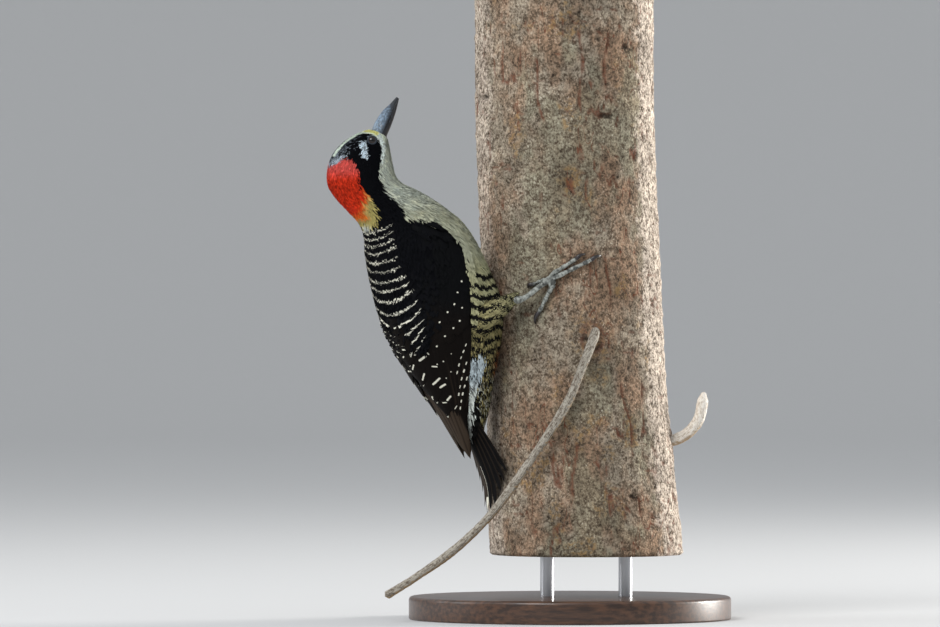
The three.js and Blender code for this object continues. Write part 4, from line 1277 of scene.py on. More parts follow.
def thigh_coat(side, colours, seed):
    """A thigh's feathers, with the belly's chevrons going on over them."""
    rng = np.random.default_rng(seed)
    surface = thigh_surface(side)
    t, angle = scatter(surface, (0.0, 0.98), (0, TURN), lambda t, _a: 1.1 + 3.4 * t, rng, (120, 60))
    t, angle = (k[~under_wings(surface(t, angle), 0.98)] for k in (t, angle))
    length = lerp(6.0, 3.4, t) * rng.normal(1, 0.22, len(t)).clip(0.5, 1.6)
    feathers = vanes(
        surface, t, angle, (length, 0.2 * length), rng, (5, 2), -1,
        turn=rng.normal(0, 0.22, len(t)), sunk=1.1, proud=0.5 * rng.random(len(t)) ** 2, fray=0.12,
    )
    feathers = (off_trunk(feathers[0]), *feathers[1:])
    base = blend(colours.flank, colours.belly, 1 - 0.7 * t)
    dusky = (0.25 + 0.5 * smoothstep(t, 0.6, 1)) * (rng.random(len(t)) < 0.2 + 0.5 * t)
    base = blend(base, colours.bar_dark, dusky)
    base = base * rng.normal(1, 0.14, (len(t), 1)).clip(0.5, 1.5)
    kind = np.where(rng.random(len(t)) < 0.12 + 0.6 * smoothstep(t, 0.5, 1), 3, 2)
    bars = coat_bars(feathers[0], kind, feathers[2], rng)
    uv = tuft_uv(*thigh_uv(side, t, angle), feathers[2])
    return dressed(feathers, base, colours.bar_dark, bars, uv, -1)


def closed_loft(surface, a_range, rows, cols, depth):
    """A round surface lowered by depth(a) and closed with a point at each end."""
    a = np.linspace(*a_range, rows + 1)[:, None]
    angle = full_turn(cols)[None]
    a, angle = np.broadcast_arrays(a, angle)
    points = raised(surface, a, angle, -depth(a))
    first, last = (np.broadcast_to(ring.mean(0), (1, cols, 3)) for ring in (points[0], points[-1]))
    points = np.concatenate([first, points, last])
    return points.reshape(-1, 3), grid_faces(rows + 2, cols, wrap=True)


def make_skin(colours, material):
    """One skin: the body and thighs, lowered by the coat's depth, melted together on a fine lattice.

    Each point takes the markings of the nearest place of the coat above it, at 0.8 of their
    brightness as painted shade under the coat."""
    rng = np.random.default_rng(3)
    lofts = [closed_loft(body_surface, (0.02, 18.9), 150, 72, skin_depth)]
    for _name, side in SIDES:
        loft = closed_loft(thigh_surface(side), (0.0, 1.0), 40, 36, lambda t: -0.9 + 0 * t)
        lofts.append((loft[0], loft[1][:, ::-1]))
    rough = make_mesh("rough_skin", *joined(lofts))
    melt = rough.modifiers.new("Melt", "REMESH")
    melt.mode = "VOXEL"
    melt.voxel_size = 0.75 * MM
    smooth = rough.modifiers.new("Smooth", "SMOOTH")
    smooth.iterations = 3
    melted = bpy.data.meshes.new_from_object(rough.evaluated_get(bpy.context.evaluated_depsgraph_get()))
    points = numbers(melted.vertices, "co", 3, np.float32).astype(float) / MM
    faces = numbers(melted.loops, "vertex_index").reshape(-1, 4)
    bpy.data.objects.remove(rough)
    bpy.data.meshes.remove(melted)

    s, angle, off = nearest(body_surface, (0, BODY_END), (-math.pi, math.pi), points, (120, 60))
    base, mark, kind = coat_colours(s, angle, colours, rng)
    marks = stacked(0.6, 0.4, rng.random(len(s)))
    bars = coat_bars(points, kind, marks, rng)
    u, v = body_uv(s, angle)
    for _name, side in SIDES:
        t, round_thigh, near = nearest(thigh_surface(side), (0, 1), (0, TURN), points, (40, 40))
        mine = near < off
        base = painted(base, colours.belly, mine)
        bars[mine, 1] = 0
        u, v = np.where(mine, thigh_uv(side, t, round_thigh), (u, v))
    # painted shade under the coat: the skin wears the coat's colours at 0.8 of their brightness
    skin = feathered_mesh("skin", off_trunk(points, 0.35), faces, marks, base * 0.8, mark, bars)
    set_uv(skin, inset(u, v))
    layer = skin.data.uv_layers["OFBake"]
    uv = numbers(layer.data, "uv", 2, np.float32).reshape(-1, 4, 2)
    # a face over the seam keeps to its first corner's side of it
    uv[..., 1] -= UV_SPAN * np.round((uv[..., 1] - uv[:, :1, 1]) / UV_SPAN)
    layer.data.foreach_set("uv", uv.ravel())
    finish_piece(skin, FLESH, material)


# ---------- wings and tail

# Long feathers of a wing from the midline out: root (station, share round), tip, half width, level.
TERTIALS = np.array([
    [3.9, 0.16, 6.15, 0.14, 5.4, 1.0], [4.0, 0.22, 6.95, 0.20, 6.0, 0.7],
    [4.1, 0.30, 7.65, 0.30, 6.4, 0.4], [4.2, 0.42, 8.22, 0.41, 6.0, 0.1],
])
SECONDARIES = np.array([
    [4.2, 0.60, 7.95, 0.66, 4.2, -0.1], [4.1, 0.69, 8.05, 0.74, 3.6, -0.3],
    [4.0, 0.77, 8.05, 0.81, 3.4, -0.45], [3.9, 0.84, 8.0, 0.87, 3.2, -0.6],
    [3.7, 0.90, 7.9, 0.93, 3.0, -0.7], [3.4, 0.955, 7.7, 0.965, 2.6, -0.6],
    [3.2, 0.985, 6.8, 0.965, 2.2, -0.35],
])
PRIMARIES = np.array([
    [5.2, 0.95, 8.2, 0.97, 2.6, -0.9], [5.6, 0.88, 8.9, 0.95, 2.6, -0.75],
    [5.6, 0.80, 9.4, 0.95, 2.8, -0.6], [5.6, 0.72, 9.8, 0.93, 3.0, -0.45],
    [5.6, 0.64, 10.1, 0.88, 3.2, -0.3], [5.6, 0.54, 10.2, 0.74, 3.2, -0.2],
    [5.6, 0.44, 10.1, 0.54, 3.2, -0.3], [5.6, 0.32, 9.85, 0.32, 3.0, -0.4],
    [5.6, 0.18, 9.3, 0.12, 2.8, -0.5],
])
# Tips of the coverts that end in a white spot.
COVERTS = np.array([
    [2.9, 0.95], [3.2, 0.90], [3.55, 0.86], [3.8, 0.79], [4.15, 0.70], [4.7, 0.60],
    [3.65, 0.93], [4.1, 0.90], [4.4, 0.83], [4.8, 0.73], [5.3, 0.62],
])
# Pale strokes of the inner wing: from (station, share round) to (station, share round), half width in mm.
INNER_STROKES = np.array([
    [5.35, 0.15, 5.35, 0.20, 0.35], [5.7, 0.24, 5.35, 0.31, 0.30], [5.15, 0.39, 5.15, 0.44, 0.30],
    [5.9, 0.35, 5.7, 0.45, 0.50], [5.5, 0.48, 5.6, 0.50, 0.30], [6.3, 0.14, 6.1, 0.22, 0.34],
    [6.7, 0.25, 6.45, 0.34, 0.36], [6.15, 0.50, 6.15, 0.57, 0.32], [6.05, 0.58, 6.05, 0.58, 0.36],
    [6.85, 0.42, 6.6, 0.56, 0.46], [6.95, 0.53, 6.8, 0.63, 0.46], [7.55, 0.17, 7.4, 0.25, 0.44],
    [7.45, 0.59, 7.25, 0.68, 0.42], [7.6, 0.45, 7.55, 0.55, 0.30], [5.75, 0.08, 5.7, 0.11, 0.34],
    [6.4, 0.02, 6.4, 0.05, 0.40], [7.0, 0.01, 7.0, 0.03, 0.50], [7.85, 0.02, 7.9, 0.03, 0.36],
    [6.55, 0.67, 6.55, 0.67, 0.36], [6.3, 0.75, 6.3, 0.75, 0.36], [5.9, 0.67, 5.9, 0.67, 0.36],
    [5.55, 0.78, 5.55, 0.78, 0.30], [7.75, 0.72, 7.6, 0.78, 0.22],
])
# Where each row of dashes along the lower edge starts: station and share round.
DASH_ROWS = ((5.15, 0.955), (5.95, 0.96), (6.5, 0.975))


def wing_strokes():
    """All of a wing's pale strokes: the inner ones, the coverts' end spots and the edge's dashes.

    A dash starts 0.3 of a station after the one before it and 0.03 of the way round nearer the ridge."""
    spots = np.column_stack([COVERTS - (0.1, 0), COVERTS - (0.11, -0.004), np.full(len(COVERTS), 0.38)])
    rows, dashes = np.meshgrid(np.arange(len(DASH_ROWS)), np.arange(5), indexing="ij")
    at = np.array(DASH_ROWS)[rows.ravel()] + dashes.ravel()[:, None] * (0.3, -0.03)
    size = 0.24 + 0.1 * ((dashes.ravel() * 0.618 + rows.ravel() * 0.38) % 1)
    dashes = np.column_stack([at, at + (-0.09, 0.01), size])
    return np.concatenate([INNER_STROKES, spots, dashes])


def wing_shade(points, colours):
    """Black over the shoulder, dark brown from the coverts' tips down."""
    return blend(colours.wing, colours.wing_brown, smoothstep(points[:, 2], 142, 124))


def long_feathers(side, table, rows, cols, point, lane):
    """Long feathers of a folded wing from their table, their pale bars and their UV in a lane of its own."""
    surface = wing_surface(side)
    t0, v0, t1, v1, half, level = table.T
    feathers = blades(surface, (t0, v0), (t1, v1), half, level, rows, cols, side, point)
    bars = spotted(feathers[0], wing_strokes(), surface, side)
    uv = strip_uv(len(table), feathers[2]) * (1, 0.16) + (0, 0.16 * lane + 0.02)
    return feathers, bars, uv


def short_feathers(side, seed, area, keep, per_mm, size, sunk, proud, turn, fray, rough=0.05, grid=(9, 6)):
    """Short feathers spread over part of a wing: their stations, shares round, vanes and random source.

    area is the range of stations and that of shares; size the length and width, mm; proud the least and
    the spread; turn the mean and the deviation; grid each feather's rows and columns of faces."""
    rng = np.random.default_rng(seed)
    surface = wing_surface(side)
    t, v = scatter(surface, *area, lambda t, v: keep(t, v) * per_mm, rng, (160, 90))
    size = [mean * rng.normal(1, 0.1, len(t)) for mean in size]
    proud = proud[0] + proud[1] * rng.random(len(t))
    turn = rng.normal(*turn, len(t))
    feathers = vanes(
        surface, t, v, size, rng, grid, side, turn=turn, sunk=sunk, proud=proud, fray=fray, rough=rough
    )
    return t, v, feathers, rng


def wing_parts(side, colours):
    """The dressed feathers of one wing, by the node they stand for."""
    pale = colours.bar_pale
    none = (0.5, 0.0, 0.0)

    def worn(feathers, t, v, shade, bars, mark=pale):
        return dressed(feathers, shade, mark, bars, tuft_uv(t / 10, v * 0.8, feathers[2]), side)

    # a dark sheet under the feathers closes what shows between them
    t, v = np.meshgrid(np.linspace(0.1, 9.6, 96), np.linspace(0, 1, 31), indexing="ij")
    v = lerp(wing_start(t), 0.985, v)
    sheet = raised(wing_surface(side), t, v, np.full(t.shape, -1.5), side).reshape(-1, 3)
    under = (sheet, grid_faces(95, 30), stacked(0.5, 0.5, np.zeros(len(sheet))))
    uv = stacked(t / 10, 0.84 + 0.13 * v).reshape(-1, 2)
    lining = dressed(under, wing_shade(sheet, colours), pale, none, uv, side)

    # plain small coverts over the shoulder
    t, v, small, _rng = short_feathers(
        side, 31 + side, ((0.0, 3.9), (0.3, 1.05)),
        lambda t, v: (v > wing_start(t) - 0.05) & (v < 1.05) & (v < 1.06 - 0.24 * np.clip(t - 2.6, 0, 9)),
        0.16, (7.5, 4.6), 1.3, (0.15, 0.1), (0, 0.05), 0.06, 0.012,
    )
    coverts = worn(small, t, v, wing_shade(small[0], colours), none)

    # the rows of coverts that end in a white spot
    tips = np.concatenate([COVERTS, COVERTS + (0.25, 0.035), COVERTS + (0.3, -0.04)])
    tips[:, 1] = np.minimum(tips[:, 1], 0.985)
    table = np.column_stack([
        tips[:, 0] - 1.25, tips[:, 1] + 0.02, tips, np.full(len(tips), 3.1), 0.25 - 0.22 * (tips[:, 0] - 2.9),
    ])
    tipped, bars, uv = long_feathers(side, table, 30, 14, 0.1, 0)
    tipped = dressed(tipped, wing_shade(tipped[0], colours), pale, bars, uv, side)

    # scapulars lie over the wing's upper border
    def border(t, v):
        start = np.clip(wing_start(t), 0.1, 1)
        return (v > start - 0.22) & (v < start + 0.07)

    t, v, scapulars, rng = short_feathers(
        side, 41 + side, ((0.2, 4.6), (0.1, 0.95)), border,
        0.15, (8.5, 5.0), 1.2, (0.35, 0.15), (0, 0.08), 0.06, 0.012,
    )
    bars = coat_bars(scapulars[0], np.where(v < wing_start(t) - 0.06, 1, 0), scapulars[2], rng)
    scapulars = worn(scapulars, t, v, colours.black * 0.9, bars)

    # the mantle's last feathers lie over the tertials' roots
    t, v, last, rng = short_feathers(
        side, 51 + side, ((3.6, 5.0), (0.0, 0.56)), lambda t, v: v < 0.62 - 0.1 * (t - 3.6),
        0.3, (7.5, 4.0), 0.9, (0.8, 0.3), (0, 0.12), 0.12,
    )
    bars = coat_bars(last[0], np.ones(len(t), int), last[2], rng)
    last = worn(last, t, v, colours.black, bars)

    # breast and flank feathers lap softly over the wing's lower edge
    t, v, lap, rng = short_feathers(
        side, 61 + side, ((0.5, 4.0), (1.02, 1.09)), lambda t, v: v > 1.03,
        2.6, (4.2, 0.7), 0.35, (0.4, 0.25), (-0.1, 0.12), 0.1, grid=(4, 2),
    )
    shade = blend(colours.breast, colours.flank, smoothstep(lap[0][:, 2], 160, 142))
    shade = shade * np.repeat(rng.normal(0.95, 0.1, (len(t), 1)), len(lap[0]) // len(t), 0)
    bars = coat_bars(lap[0], np.where(wing_surface(side)(t, v)[:, 2] < 148, 2, 0), lap[2], rng)
    lap = worn(lap, t, np.minimum(v, 1), shade, bars, colours.bar_dark)

    tertials, bars, uv = long_feathers(side, TERTIALS, 110, 26, 0.12, 1)
    bars[:, 0] = np.minimum(bars[:, 0], 20 * (1 - tertials[2][:, 0]))
    tertials = dressed(tertials, wing_shade(tertials[0], colours), pale, bars, uv, side)
    second, bars, uv = long_feathers(side, SECONDARIES, 110, 16, 0.2, 2)
    edge = smoothstep(np.abs(second[2][:, 1]), 0.45, 1) * smoothstep(second[0][:, 2], 118, 100)
    shade = blend(wing_shade(second[0], colours), colours.primaries, 0.5 * edge)
    secondaries = dressed(second, shade, pale, bars, uv, side)

    first, _bars, uv = long_feathers(side, PRIMARIES, 60, 8, 0.1, 3)
    a, z = side_plane(first[0], BODY_LEAN)
    beyond = smoothstep(a - np.interp(z, [78, 80.6, 91, 95], [-40, -45.2, -50, -52]), 0.5, -0.5)
    shade = blend(wing_shade(first[0], colours), colours.primaries, smoothstep(z, 104, 92) * beyond)
    shade = blend(shade, colours.wing_brown, 0.6 * smoothstep(np.abs(first[2][:, 1]), 0.25, 0.0))
    primaries = dressed(first, shade, pale, none, uv, side)
    return {
        "coverts": [lining, coverts, tipped, scapulars, lap],
        "secondaries": [tertials, secondaries, last],
        "primaries": [primaries],
    }


# Pale strokes of the tail's middle feathers: from (length, width) to (length, width), half width in mm.
TAIL_STROKES = np.array([[0.88, -0.9, 0.985, -0.2, 1.25], [0.6, 0.1, 0.88, 0.0, 0.22]])


def tail_part(members, colours):
    """The stiff feathers of the tail in members: (order from the middle out, side)."""
    table = []
    for order, side in members:
        end, root, tip, half = TAIL_FEATHERS[order]
        table.append([0.0, side * root, end, side * tip, half, -0.3 * order - 0.12 * (side < 0)])
    t0, w0, t1, w1, half, level = np.transpose(table)
    feathers = blades(tail_surface, (t0, w0), (t1, w1), half, level, 80, 16, 1, 0.35, 1.5)
    points, _faces, marks = feathers
    base = blend(colours.tail, colours.primaries, 0.45 * smoothstep(np.abs(marks[:, 1]), 0.6, 1))
    base = blend(base, colours.primaries, 0.7 * smoothstep(to_bird(points)[1], 0.5, -1.5))
    bars = spotted(points, TAIL_STROKES, tail_surface)
    return dressed(feathers, base, colours.bar_pale, bars, strip_uv(len(table), marks))


# ---------- bill, eyes and feet


def make_bill(colours, material):
    """Two mandibles: the part of the bill's tapering oval above the gape's plane, and the part below it.

    The oval's flanks are drawn in towards the culmen, so that it has a ridge, and a low ridge runs
    forward from each nostril."""
    back_u, back_z, _fu, _fz, _half, lean, _square = BODY[0]
    root = section_middle(0.0)
    tip = to_world(BILL_TIP[0], lean, BILL_TIP[1])
    axis = unit(tip - root)
    side = to_world(0, 1, 0)
    culmen = np.cross(side, axis)
    culmen *= np.sign(culmen @ (to_world(back_u, lean, back_z) - root))
    root = root + axis * 0.32
    rings, arc, flat = 90, 40, 16
    t = np.linspace(-0.05, 1, rings + 1)[:, None]
    rise = CULMEN_RISE * np.sin(math.pi * np.clip(t, 0, 1) ** 0.8)
    a = (lerp(BILL_DEPTH[0], BILL_DEPTH[1], t) + rise) / 2
    swell = 0.65 * np.sin(math.pi * np.clip(t, 0, 1))
    b = lerp(BILL_WIDTH[0], BILL_WIDTH[1], 1.16 * t - 0.16 * t * t) / 2
    for name, sign in (("bill_upper", 1), ("bill_lower", -1)):
        gape = -0.35 + 0.12 * sign
        start = np.arcsin(np.clip((gape - rise / 2) / a * sign, -0.95, 0.95))
        phi = lerp(start, math.pi - start, np.linspace(0, 1, arc + 1)[None])
        c, s = np.cos(phi), np.sin(phi)
        narrow = 1.0 - (0.16 if sign > 0 else 0.06) * np.clip(s, 0, 1) ** 2
        from_culmen = np.abs(phi - math.pi / 2)
        ridge = 0.18 * gauss(from_culmen - 0.85, 0.13) * (1 - t) * (sign > 0)
        x = b * c * narrow * (1 + ridge * 0.6)
        y = rise / 2 + sign * a * s * (1 - 0.22 * smoothstep(t, 0.55, 0.8) if sign > 0 else 1 + swell / a)
        closing = np.linspace(1, 0, flat + 1)[None, 1:-1]
        x_flat = lerp(x[:, :1], x[:, -1:], closing)
        y_flat = np.broadcast_to(y[:, :1], x_flat.shape) + sign * 0.06
        x, y = np.hstack([x, x_flat]), np.hstack([y, y_flat])
        at = root + (tip - root) * t[..., None]
        points = at + side * x[..., None] + culmen * y[..., None]
        worn = 0.1 * (layered_noise(points / (0.5, 0.5, 1.6), 12, 3) - 0.5)
        points = points + culmen * (worn * sign * np.clip(t * 3, 0, 1))[..., None]
        # nostrils: a slit sunk into each side near the root
        slit = gauss(t - 0.1, 0.055) * gauss(from_culmen - 0.95, 0.16) * (sign > 0)
        points[:, : arc + 1] -= (side * np.sign(c)[..., None]) * 0.5 * slit[..., None]
        ends = [np.broadcast_to(points[[k]].mean(1, keepdims=True), points[:1].shape) for k in (0, -1)]
        points = np.concatenate([ends[0], points, ends[1] + axis * 0.15])
        faces = grid_faces(rings + 2, arc + flat, wrap=True)[:, :: -sign]
        share = np.concatenate([[0], t[:, 0], [1]])[:, None]
        # upper side near the root: partly own bluish grey, partly a painted reflection of the sky
        high = ((points - root) @ culmen - gape) / 3.4
        streak = layered_noise(points / (0.45, 0.45, 2.4), 17, 3)
        light = smoothstep(high, 0.1, 0.7) * (1 - smoothstep(share, 0.4, 0.85)) * (0.05 + 1.4 * streak)
        # painted highlights: pale specks on the middle of the mandibles
        speck = smoothstep(layered_noise(points / 0.55, 19, 3), 0.6, 0.72) * (share > 0.25) * (share < 0.75)
        light = light + 0.5 * speck * smoothstep(high, -0.6, 0.5)
        base = blend(colours.bill, colours.bill_blue_and_reflection, np.clip(light, 0, 1))
        base = base * (0.35 + 1.1 * streak)[..., None]
        piece = painted_piece(name + "_horn", points, faces, base, [name], material)
        set_uv(piece, inset(share, np.linspace(0, 1, arc + flat)))


def sphere(centre, pole, radius, rings, sides):
    """A round ball whose pole faces a unit vector's way: points, faces and the angle from the pole."""
    e1, e2 = square_to(pole, (0.2, 0.3, 0.93))
    theta = np.linspace(0, math.pi, rings + 1)[:, None, None]
    phi = full_turn(sides)[None, :, None]
    points = np.cos(theta) * pole + np.sin(theta) * (np.cos(phi) * e1 + np.sin(phi) * e2)
    points = centre + radius * points
    faces = grid_faces(rings, sides, wrap=True)[:, ::-1]
    return points.reshape(-1, 3), faces, np.repeat(theta.ravel(), sides)


def make_eyes(colours, ball_material, ring_material):
    """A glossy ball with pupil and iris, and a granular bare ring that holds it."""
    for name, side in SIDES:
        centre = eye_centre(side)
        out = unit(body_surface(np.float64(EYE_STATION), side * EYE_ANGLE) - centre)
        points, faces, theta = sphere(centre, out, EYE_RADIUS, 72, 72)
        iris = smoothstep(theta, 0.37, 0.40) * (1 - smoothstep(theta, 0.80, 0.84))
        base = blend(np.full(3, 0.002), colours.eye, iris)
        painted_piece("eyeball_" + name, points, faces, base, ["eye_" + name], ball_material)

        e1, e2 = square_to(out, (0.1, 0.2, 0.97))
        long, short = 160, 28
        around = full_turn(long)[:, None]
        small = full_turn(short)[None]
        grain = layered_noise(stacked(np.cos(around) * 9, np.sin(around) * 9, small * 1.5), 4, 3)
        thick = 0.35 * (1 + 0.6 * (grain - 0.5)) * (1 + 0.04 * np.cos(around * 31))
        radial = (1.76 + thick * np.cos(small))[..., None]
        ring = centre + out * (1.75 + 0.75 * thick * np.sin(small))[..., None]
        ring = ring + radial * (np.cos(around)[..., None] * e1 + np.sin(around)[..., None] * e2)
        base = colours.eye_ring * (0.45 + 1.0 * grain.ravel()[:, None])
        faces = grid_faces(long, short, wrap=True) % (long * short)
        painted_piece("eye_ring_" + name, ring, faces, base, ["head"], ring_material)


def leg_tubes(side):
    """The scaly parts of a leg, shank, palm and toes, as tubes with scutes, and its claws."""
    foot = bark_point(side, *FOOT)
    start = to_world(THIGH_LINE[-1, 0] - 3, BODY_LEAN + side * THIGH_LINE[-1, 1], THIGH_LINE[-1, 2] - 1.4)
    ankle = to_world(ANKLE[0], BODY_LEAN + side * ANKLE[1], ANKLE[2])
    line = np.stack([start, ankle, lerp(ankle, foot, 0.55), foot])
    share = np.linspace(0, 1, 61)
    knob = 0.55 * gauss(share - 0.2, 0.09) + 0.35 * smoothstep(share, 0.75, 1)
    parts = [tube(line, SHANK_RADIUS - 0.2 + knob, 120, 30, 13, 0.14)]
    for az, h, lift, size in ((*FOOT, 1.5), (48.9, 146.2, 2.0, 1.4), (48.8, 144.5, 1.7, 1.15)):
        palm, faces, _theta = sphere(bark_point(side, az, h, lift), (0, 0, 1), size, 24, 32)
        parts.append((palm, faces, np.full((len(palm), 3), 0.2)))
    claws = []
    for name, ((az0, h0), (az1, h1), radius, claw) in TOES.items():
        t = np.linspace(0.12, 1, 8)
        lift = radius + 0.15 + (FOOT[2] - radius - 0.15) * (1 - t) ** 2
        toe = np.vstack([foot, bark_point(side, lerp(az0, az1, t), lerp(h0, h1, t), lift)])
        fine = np.linspace(0, 1, 91)
        knuckles = 0.13 * np.cos(3.5 * TURN * fine) * smoothstep(fine, 0.1, 0.3)
        parts.append(tube(toe, radius * lerp(0.95, 0.72, fine) + knuckles, 120, 26, 14, 0.12))
        end, ahead = toe[-1], unit(toe[-1] - toe[-2])
        out = bark_point(side, az1, h1, lift[-1] + 1) - end
        bend = np.cross(out, ahead) * side * (0.4 if name in ("inner", "middle") else -0.4)
        k = np.linspace(0, 1, 13)[:, None]
        hook = end + ahead * (k * claw - 0.5) + bend * np.sin(math.pi * k**0.8) ** 1.3
        hook = hook + out * (0.9 * np.sin(0.8 * math.pi * k) - 2.4 * k * k) - bend * 1.5 * k * k
        claws.append(tube(hook, 0.9 * (1 - np.linspace(0, 1, 20)) ** 0.65 + 0.1, 50, 22))
    return parts, claws


def make_legs(colours, skin_material, claw_material):
    """Shanks, palms and toes with patchy painted shade in the creases between their scutes, and
    dark horny claws.
    """
    for name, side in SIDES:
        parts, claws = leg_tubes(side)
        points, faces, marks = joined(parts)
        patches = smoothstep(layered_noise(points / 1.2, 8, 4), 0.3, 0.7)
        # painted shade: worn is patchy noise that sets how far the scutes' creases darken, up to 60%
        worn = smoothstep(layered_noise(points / 1.1, 9, 2), 0.3, 0.7)
        base = colours.foot * ((0.2 + 0.95 * patches) * (1 - 0.6 * worn * marks[:, 2]))[:, None]
        nodes = ["shank_" + name] + [f"toe_{toe}_{name}" for toe in TOES]
        painted_piece("foot_" + name, points, faces, base, nodes, skin_material)
        points, faces, marks = joined(claws)
        base = colours.claw * lerp(1.1, 0.5, marks[:, :1])
        base = base * (0.7 + 0.6 * layered_noise(points / 0.5, 18, 2))[:, None]
        nodes = [f"claw_{toe}_{name}" for toe in TOES]
        painted_piece("claws_" + name, points, faces, base, nodes, claw_material)


# ---------- perch and stand


def girth_from(azimuth, degrees):
    """How far round the bark azimuths lie from a direction in degrees, in mm along its girth."""
    return ((np.degrees(azimuth) - degrees + 180) % 360 - 180) * math.radians(TRUNK_RADIUS)


def bark_height(azimuth, z):
    """How far the bark stands from the trunk's plain surface, mm, and its masks.

    The masks are crack, lichen, ochre, the lit sides and knot; the lit sides are painted light. The
    bark swells into a collar round the twig's root and round the stub's, and rings of painted shade
    in the crack and knot masks darken the bark close round each root."""
    p = stacked(np.cos(azimuth) * 39, np.sin(azimuth) * 39, z)
    broad = layered_noise(p / (14, 14, 30), 1, 3) - 0.5
    plates = layered_noise(p / (2.4, 2.4, 2.8), 2, 3) - 0.5
    line = np.abs(layered_noise(p / (6, 6, 30), 3, 3) - 0.5)
    upright = 1 - smoothstep(line, 0.006, 0.03)
    upright = upright * smoothstep(layered_noise(p / (9, 9, 17), 4, 2), 0.6, 0.68)
    line = np.abs(layered_noise(p / (9, 9, 2.2), 6, 3) - 0.5)
    level = (1 - smoothstep(line, 0.01, 0.05)) * smoothstep(layered_noise(p / (7, 7, 4), 7, 2), 0.66, 0.76)
    crack_and_root_shade = np.clip(upright + 0.8 * level, 0, 1)
    for turn, low, high, lean in CRACKS:
        wander = 0.9 * np.sin(z / 4.7 + turn) + lean * (z - low)
        off = np.abs(girth_from(azimuth, turn) - wander)
        line = smoothstep(off, 0.85, 0.3) * smoothstep(z, low, low + 3) * smoothstep(z, high, high - 3)
        crack_and_root_shade = np.maximum(crack_and_root_shade, line * smoothstep(plates, -0.3, 0.0))
    knot_and_root_shade = np.zeros_like(crack_and_root_shade)
    for turn, level, half_width, half_height in KNOTS:
        off = np.hypot(girth_from(azimuth, turn) / half_width, (z - level) / half_height)
        knot_and_root_shade = np.maximum(knot_and_root_shade, smoothstep(off + 1.2 * plates, 1.15, 0.45))
    height = np.minimum(-0.2 + 0.6 * broad + 1.5 * plates - 0.7 * crack_and_root_shade - 0.6 * knot_and_root_shade, 0.35)
    ochre = 0.8 * smoothstep(layered_noise(p / (11, 11, 16), 9, 4), 0.58, 0.7)
    for root in (TWIG_LINE[1], STUB_LINE[1]):
        away = p - (root[0] - trunk_axis(root[2]), root[1], root[2])
        away = length_of(away * (1, 1, 0.8))
        height = height + 1.1 * gauss(away, 6.0) * (0.7 + 0.6 * plates)
        # painted shade: a reddish ring 5 mm out (crack mask) and a dark ring 3.6 mm out (knot mask)
        crack_and_root_shade = np.maximum(crack_and_root_shade, 0.8 * gauss(away - 5.0, 1.3) * smoothstep(plates, -0.2, 0.1))
        knot_and_root_shade = np.maximum(knot_and_root_shade, gauss(away - 3.6, 1.1) * smoothstep(plates, -0.35, 0.05))
        ochre = np.maximum(ochre, 0.9 * gauss(away - 7.0, 3.0) * smoothstep(plates, -0.3, 0.1))
    lichen = smoothstep(layered_noise(p / (13, 13, 26), 8, 4), 0.5, 0.62)
    # painted light: a pale side centred 20 degrees round from +X, and a weaker pale strip round -X
    lit_sides = smoothstep(np.cos(azimuth - 0.35) + 0.35 * plates, 0.46, 0.58)
    lit_sides = np.maximum(lit_sides, 0.75 * smoothstep(-np.cos(azimuth) + 0.2 * plates, 0.8, 0.93))
    return height, crack_and_root_shade, lichen, ochre, lit_sides, knot_and_root_shade


def make_trunk(bark, cut):
    """The trunk: its bark as one displaced grid round the axis, closed by two sawn ends."""
    rows, cols = 280, 300
    z = np.linspace(TRUNK_BOTTOM, TRUNK_TOP, rows + 1)
    z, azimuth = np.meshgrid(z, full_turn(cols), indexing="ij")
    height, *masks, knot_and_root_shade = bark_height(azimuth, z)
    rim = 1.4  # height of the rounded edge at either end
    from_end = (TRUNK_TOP - TRUNK_BOTTOM) / 2 - np.abs(z - (TRUNK_TOP + TRUNK_BOTTOM) / 2)
    round_off = 1.2 * (1 - np.sqrt(1 - (1 - from_end / rim).clip(0, 1) ** 2))
    points = trunk_surface(azimuth, z, height - round_off)
    trunk = make_mesh("trunk_bark", points.reshape(-1, 3), grid_faces(rows, cols, wrap=True)[:, ::-1])
    set_colour(trunk, "bark", np.stack(masks, -1).reshape(-1, 4))
    set_vector(trunk, "knot_and_root_shade", stacked(knot_and_root_shade, knot_and_root_shade, knot_and_root_shade))
    set_uv(trunk, inset(azimuth / TURN, (z - TRUNK_BOTTOM) / 249.6))
    finish_piece(trunk, ["perch_trunk"], bark)
    share = np.linspace(1, 0, 41)[:, None, None]
    for name, ring, flip, step in (("trunk_foot", 0, 1, 0.25), ("trunk_top", -1, -1, -0.25)):
        edge = points[ring][None]
        middle = np.array([trunk_axis(edge[0, 0, 2]), 0, edge[0, 0, 2]])
        face = middle + (edge - middle) * share
        saw = layered_noise(face / (1.1, 9, 9), 23, 2) - 0.5
        face[..., 2] += step * (1 - share[..., 0] ** 8) + 0.3 * saw * (1 - share[..., 0] ** 8)
        end = make_mesh(name, face.reshape(-1, 3), grid_faces(40, cols, wrap=True)[:, ::flip])
        finish_piece(end, ["perch_trunk"], cut)


